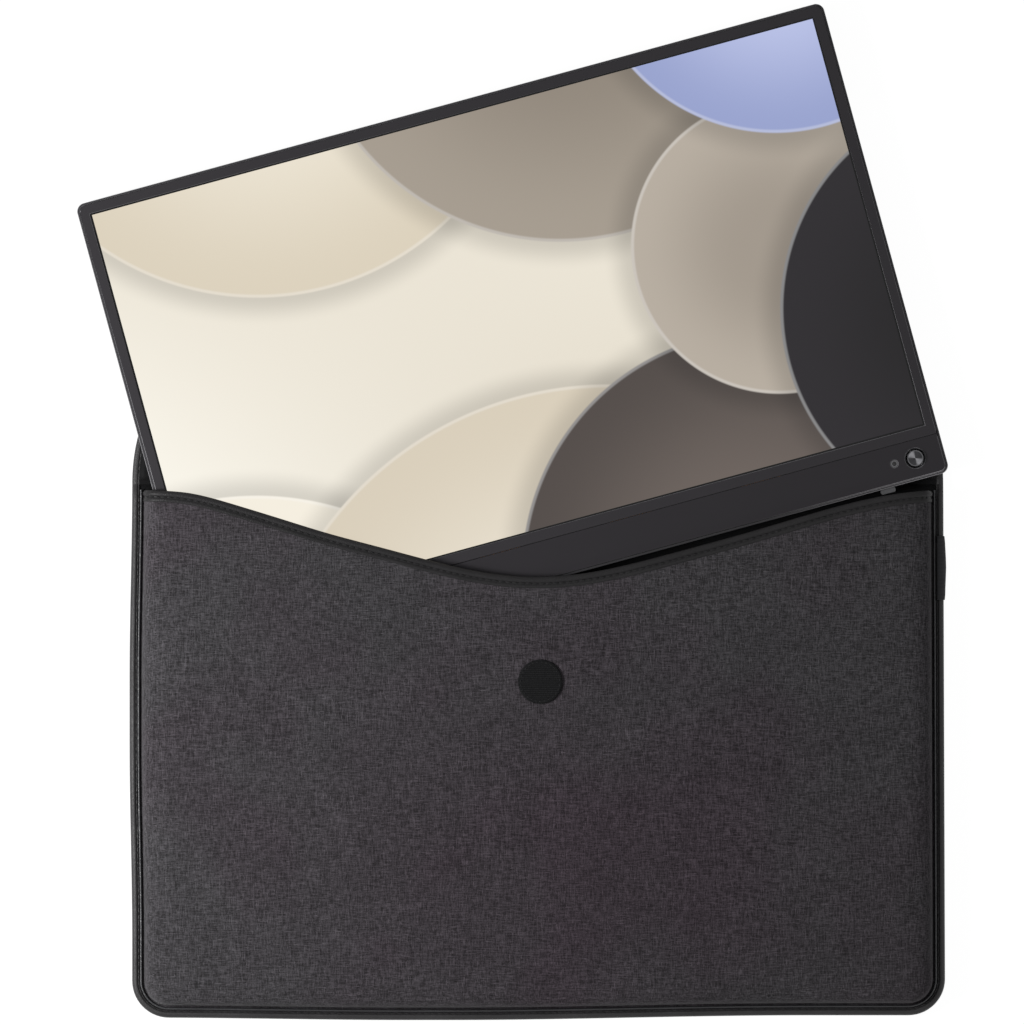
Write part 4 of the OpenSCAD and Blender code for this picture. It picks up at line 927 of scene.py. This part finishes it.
LOOP = [(3.2, 5.52), (3.2, 6.0), (2.8, 6.25), (1.6, 6.3), (0.5, 6.2), (-0.3, 5.8), (-0.8, 5.1), (-1.0, 4.0),
        (-1.0, 2.6), (-0.95, 1.5), (-0.7, 1.05), (-0.35, 1.1), (-0.2, 1.6), (-0.15, 3.4), (0.0, 4.6),
        (0.5, 5.3), (1.4, 5.6), (2.4, 5.5)]
loop_ts = [0.0, 0.02, 0.05, 0.1, 0.2, 0.35, 0.5, 0.65, 0.8, 0.9, 0.95, 0.98, 1.0]
points = []
for t in loop_ts:
    pinch = 0.25 * (abs(2 * t - 1) ** 10)
    slack = 0.55 * abs(2 * t - 1) ** 6 + 0.16 * math.sin(9 * t)
    for d, z in LOOP:
        z2 = z + (3.6 - z) * pinch if d < 0.4 else z - 0.25 * pinch
        out = d * (1 - slack) if d < 0 else d
        points.append((HALF_W - out, LOOP_Y0 + (LOOP_Y1 - LOOP_Y0) * t, z2))
faces = ring_faces(len(LOOP), len(loop_ts))
seam_loop = build("seam_loop", points, faces, RIBBON, "sleeve", settled=True)
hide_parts("side_loop")


# ---------------------------------------------------------------- flap

def flap_outline(d):
    """Right side of the flap drawn in by d, from its fold to its tip."""
    sc, tc = Vector((HALF_W - SHOULDER_R, Y_FOLD)), Vector((0, FLAP_Y))
    span = (tc - sc).length
    a, b = SHOULDER_R + NECK_R, TONGUE_R + NECK_R
    along = (a * a - b * b + span * span) / (2 * span)
    away = math.sqrt(a * a - along * along)
    unit = (tc - sc) / span
    nc = sc + along * unit + away * Vector((unit.y, -unit.x))

    def arc(c, r, a0, a1, n):
        turns = [a0 + (a1 - a0) * t for t in steps(n)]
        return [(c.x + r * math.cos(a), c.y + r * math.sin(a)) for a in turns]

    def heading(v):
        return math.atan2(v.y, v.x)

    return (arc(sc, SHOULDER_R - d, math.asin(FOLD_HALF / (SHOULDER_R - d)), heading(nc - sc), 40)
            + arc(nc, NECK_R + d, heading(sc - nc), heading(tc - nc), 24)[1:]
            + arc(tc, TONGUE_R - d, heading(nc - tc), math.pi / 2, 24)[1:])


def flap_rail(d):
    side = flap_outline(d)
    return side + [(-x, y) for x, y in reversed(side[:-1])]


def flap_rows(d):
    return [[(x * crowded(u, 0.4), y) for u in steps(56)] for x, y in flap_outline(d)]


def flap_in(x, y):
    """Distance in from the flap's outline, near enough for easing its edges."""
    side = flap_outline(0)
    w = next((a for a, b in side if b >= y), 0.0)
    return max(0.0, w - abs(x)) * 0.8


flap_pad = flat_pad("flap_pad", flap_rows(1.2), lambda x, y: 2.4 + 0.38 * smooth(flap_in(x, y), 3.0, 4.5),
                    lambda x, y: 0.5 * (1 - smooth(flap_in(x, y), 3.0, 9)), CLOTH_BACK, "flap", True)
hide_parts("flap_outer_fabric", "flap_foam")

flap_cloth = flat_pad("flap_lining_cloth", flap_rows(3.3), lambda x, y: BACK_T - 0.02 + creased(x, y) * 0.5,
                      lambda x, y: 2.8, LINING, "flap", True)
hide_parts("flap_lining")

FLAP_BINDING = [(d, z * THIN) for d, z in BINDING]
flap_rim = sharpen(loft("flap_binding_strip", FLAP_BINDING, flap_rail, LEATHER, "flap", True))
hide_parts("flap_binding")
flap_thread = stitches("flap_binding_stitches", [(x, y, 3.05) for x, y in flap_rail(SEWN_IN)], THREAD, "flap",
                       settled=True, radius=0.16)

loop_dot = tape_dot("closure_loop_dot", DOT_X, FLAP_Y, 2.5, 3.48, LOOPS, "flap", 0.12)
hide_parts("loop_dot")

# Over the fold: outer cloth below, lining above, and the rim's leatherette at both ends
FOLD_YS = [-1.0, -0.8, -0.6] + [-0.5 + i / 12 for i in range(13)] + [0.6, 0.8, 1.0]


def fold_x(u):
    return (HALF_W - RIM_W + 0.1) * u


rows = [[(fold_x(2 * u - 1), Y_FOLD + y) for u in steps(48)] for y in FOLD_YS]
points = [p for row in rows for p in row]
spine = shell("fold_spine", [(x, y, BACK_T - 0.02) for x, y in points], [(x, y, 0.0) for x, y in points],
              sheet_faces(rows), [LINING, CLOTH_BACK], None, settled=True)
for f in spine.data.polygons:
    f.material_index = 0 if f.center.z > 1.6 * MM else 1
sharpen(spine)
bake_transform(spine)

for side, name in ((-1, "left"), (1, "right")):
    points = [(side * (HALF_W - d), Y_FOLD + y, z) for y in FOLD_YS for d, z in FLAP_BINDING]
    faces = ring_faces(len(FLAP_BINDING), len(FOLD_YS))
    fold_rim = sharpen(build("fold_binding_" + name, points, faces, LEATHER, None, settled=True))
    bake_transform(fold_rim)


# ---------------------------------------------------------------- stage, lights, camera

# Floor in metres; levels are shares of white
FLOOR_HALF, FLOOR_Z = 12, -0.0004
FLOOR_TONE, FLOOR_GLOW, FLOOR_SHADED, ROOM_LIGHT = 0.8, 0.965, 0.1, 0.3


def seen(tree):
    """1 for camera, mirror and see-through rays, which all show the white background."""
    path = tree.nodes.new("ShaderNodeLightPath")
    total = path.outputs["Is Camera Ray"]
    for name in ("Is Glossy Ray", "Is Transmission Ray"):
        add = tree.nodes.new("ShaderNodeMath")
        add.operation = "MAXIMUM"
        tree.links.new(total, add.inputs[0])
        tree.links.new(path.outputs[name], add.inputs[1])
        total = add.outputs[0]
    return total


def stage_floor():
    mesh = bpy.data.meshes.new("floor")
    r, z = FLOOR_HALF, FLOOR_Z
    mesh.from_pydata([(-r, -r, z), (r, -r, z), (r, r, z), (-r, r, z)], [], [(0, 1, 2, 3)])
    floor = bpy.data.objects.new("floor", mesh)
    bpy.context.scene.collection.objects.link(floor)
    look = bpy.data.materials.new("floor")
    look.use_nodes = True
    tree = look.node_tree
    tree.nodes.clear()
    out = tree.nodes.new("ShaderNodeOutputMaterial")
    swap, both = tree.nodes.new("ShaderNodeMixShader"), tree.nodes.new("ShaderNodeAddShader")
    plain, faint = tree.nodes.new("ShaderNodeBsdfDiffuse"), tree.nodes.new("ShaderNodeBsdfDiffuse")
    glow = tree.nodes.new("ShaderNodeEmission")
    plain.inputs["Color"].default_value = (FLOOR_TONE,) * 3 + (1,)
    faint.inputs["Color"].default_value = (FLOOR_SHADED,) * 3 + (1,)
    glow.inputs["Strength"].default_value = FLOOR_GLOW
    tree.links.new(glow.outputs[0], both.inputs[0])
    tree.links.new(faint.outputs[0], both.inputs[1])
    tree.links.new(seen(tree), swap.inputs[0])
    tree.links.new(plain.outputs[0], swap.inputs[1])
    tree.links.new(both.outputs[0], swap.inputs[2])
    tree.links.new(swap.outputs[0], out.inputs["Surface"])
    mesh.materials.append(look)


def white_world():
    world = bpy.data.worlds.new("studio")
    bpy.context.scene.world = world
    world.use_nodes = True
    tree = world.node_tree
    back = tree.nodes["Background"]
    back.inputs["Color"].default_value = (1, 1, 1, 1)
    level = tree.nodes.new("ShaderNodeMapRange")
    level.inputs["To Min"].default_value = ROOM_LIGHT
    level.inputs["To Max"].default_value = 1.0
    tree.links.new(seen(tree), level.inputs["Value"])
    tree.links.new(level.outputs[0], back.inputs["Strength"])


def lamp(name, place, aim, size, power):
    light = bpy.data.lights.new(name, "AREA")
    light.shape, light.size, light.energy = "DISK", size, power
    obj = bpy.data.objects.new(name, light)
    bpy.context.scene.collection.objects.link(obj)
    obj.location = place
    obj.rotation_euler = (Vector(aim) - Vector(place)).to_track_quat("-Z", "Y").to_euler()


stage_floor()
white_world()
lamp("key", (-0.62, -0.02, 0.48), (-0.02, 0.06, 0.0), 0.32, 6.8)
lamp("rim_light", (0.8, -0.22, 0.28), (0.05, 0.04, 0.0), 0.12, 0.45)

camera = bpy.data.objects.new("camera", bpy.data.cameras.new("camera"))
bpy.context.scene.collection.objects.link(camera)
camera.data.sensor_width = 36
camera.data.lens = 457.7
camera.data.clip_start, camera.data.clip_end = 0.1, 60
camera.location = (-0.0115, 0.1097, 6.015)
bpy.context.scene.camera = camera
bpy.context.scene.view_settings.view_transform = "Standard"
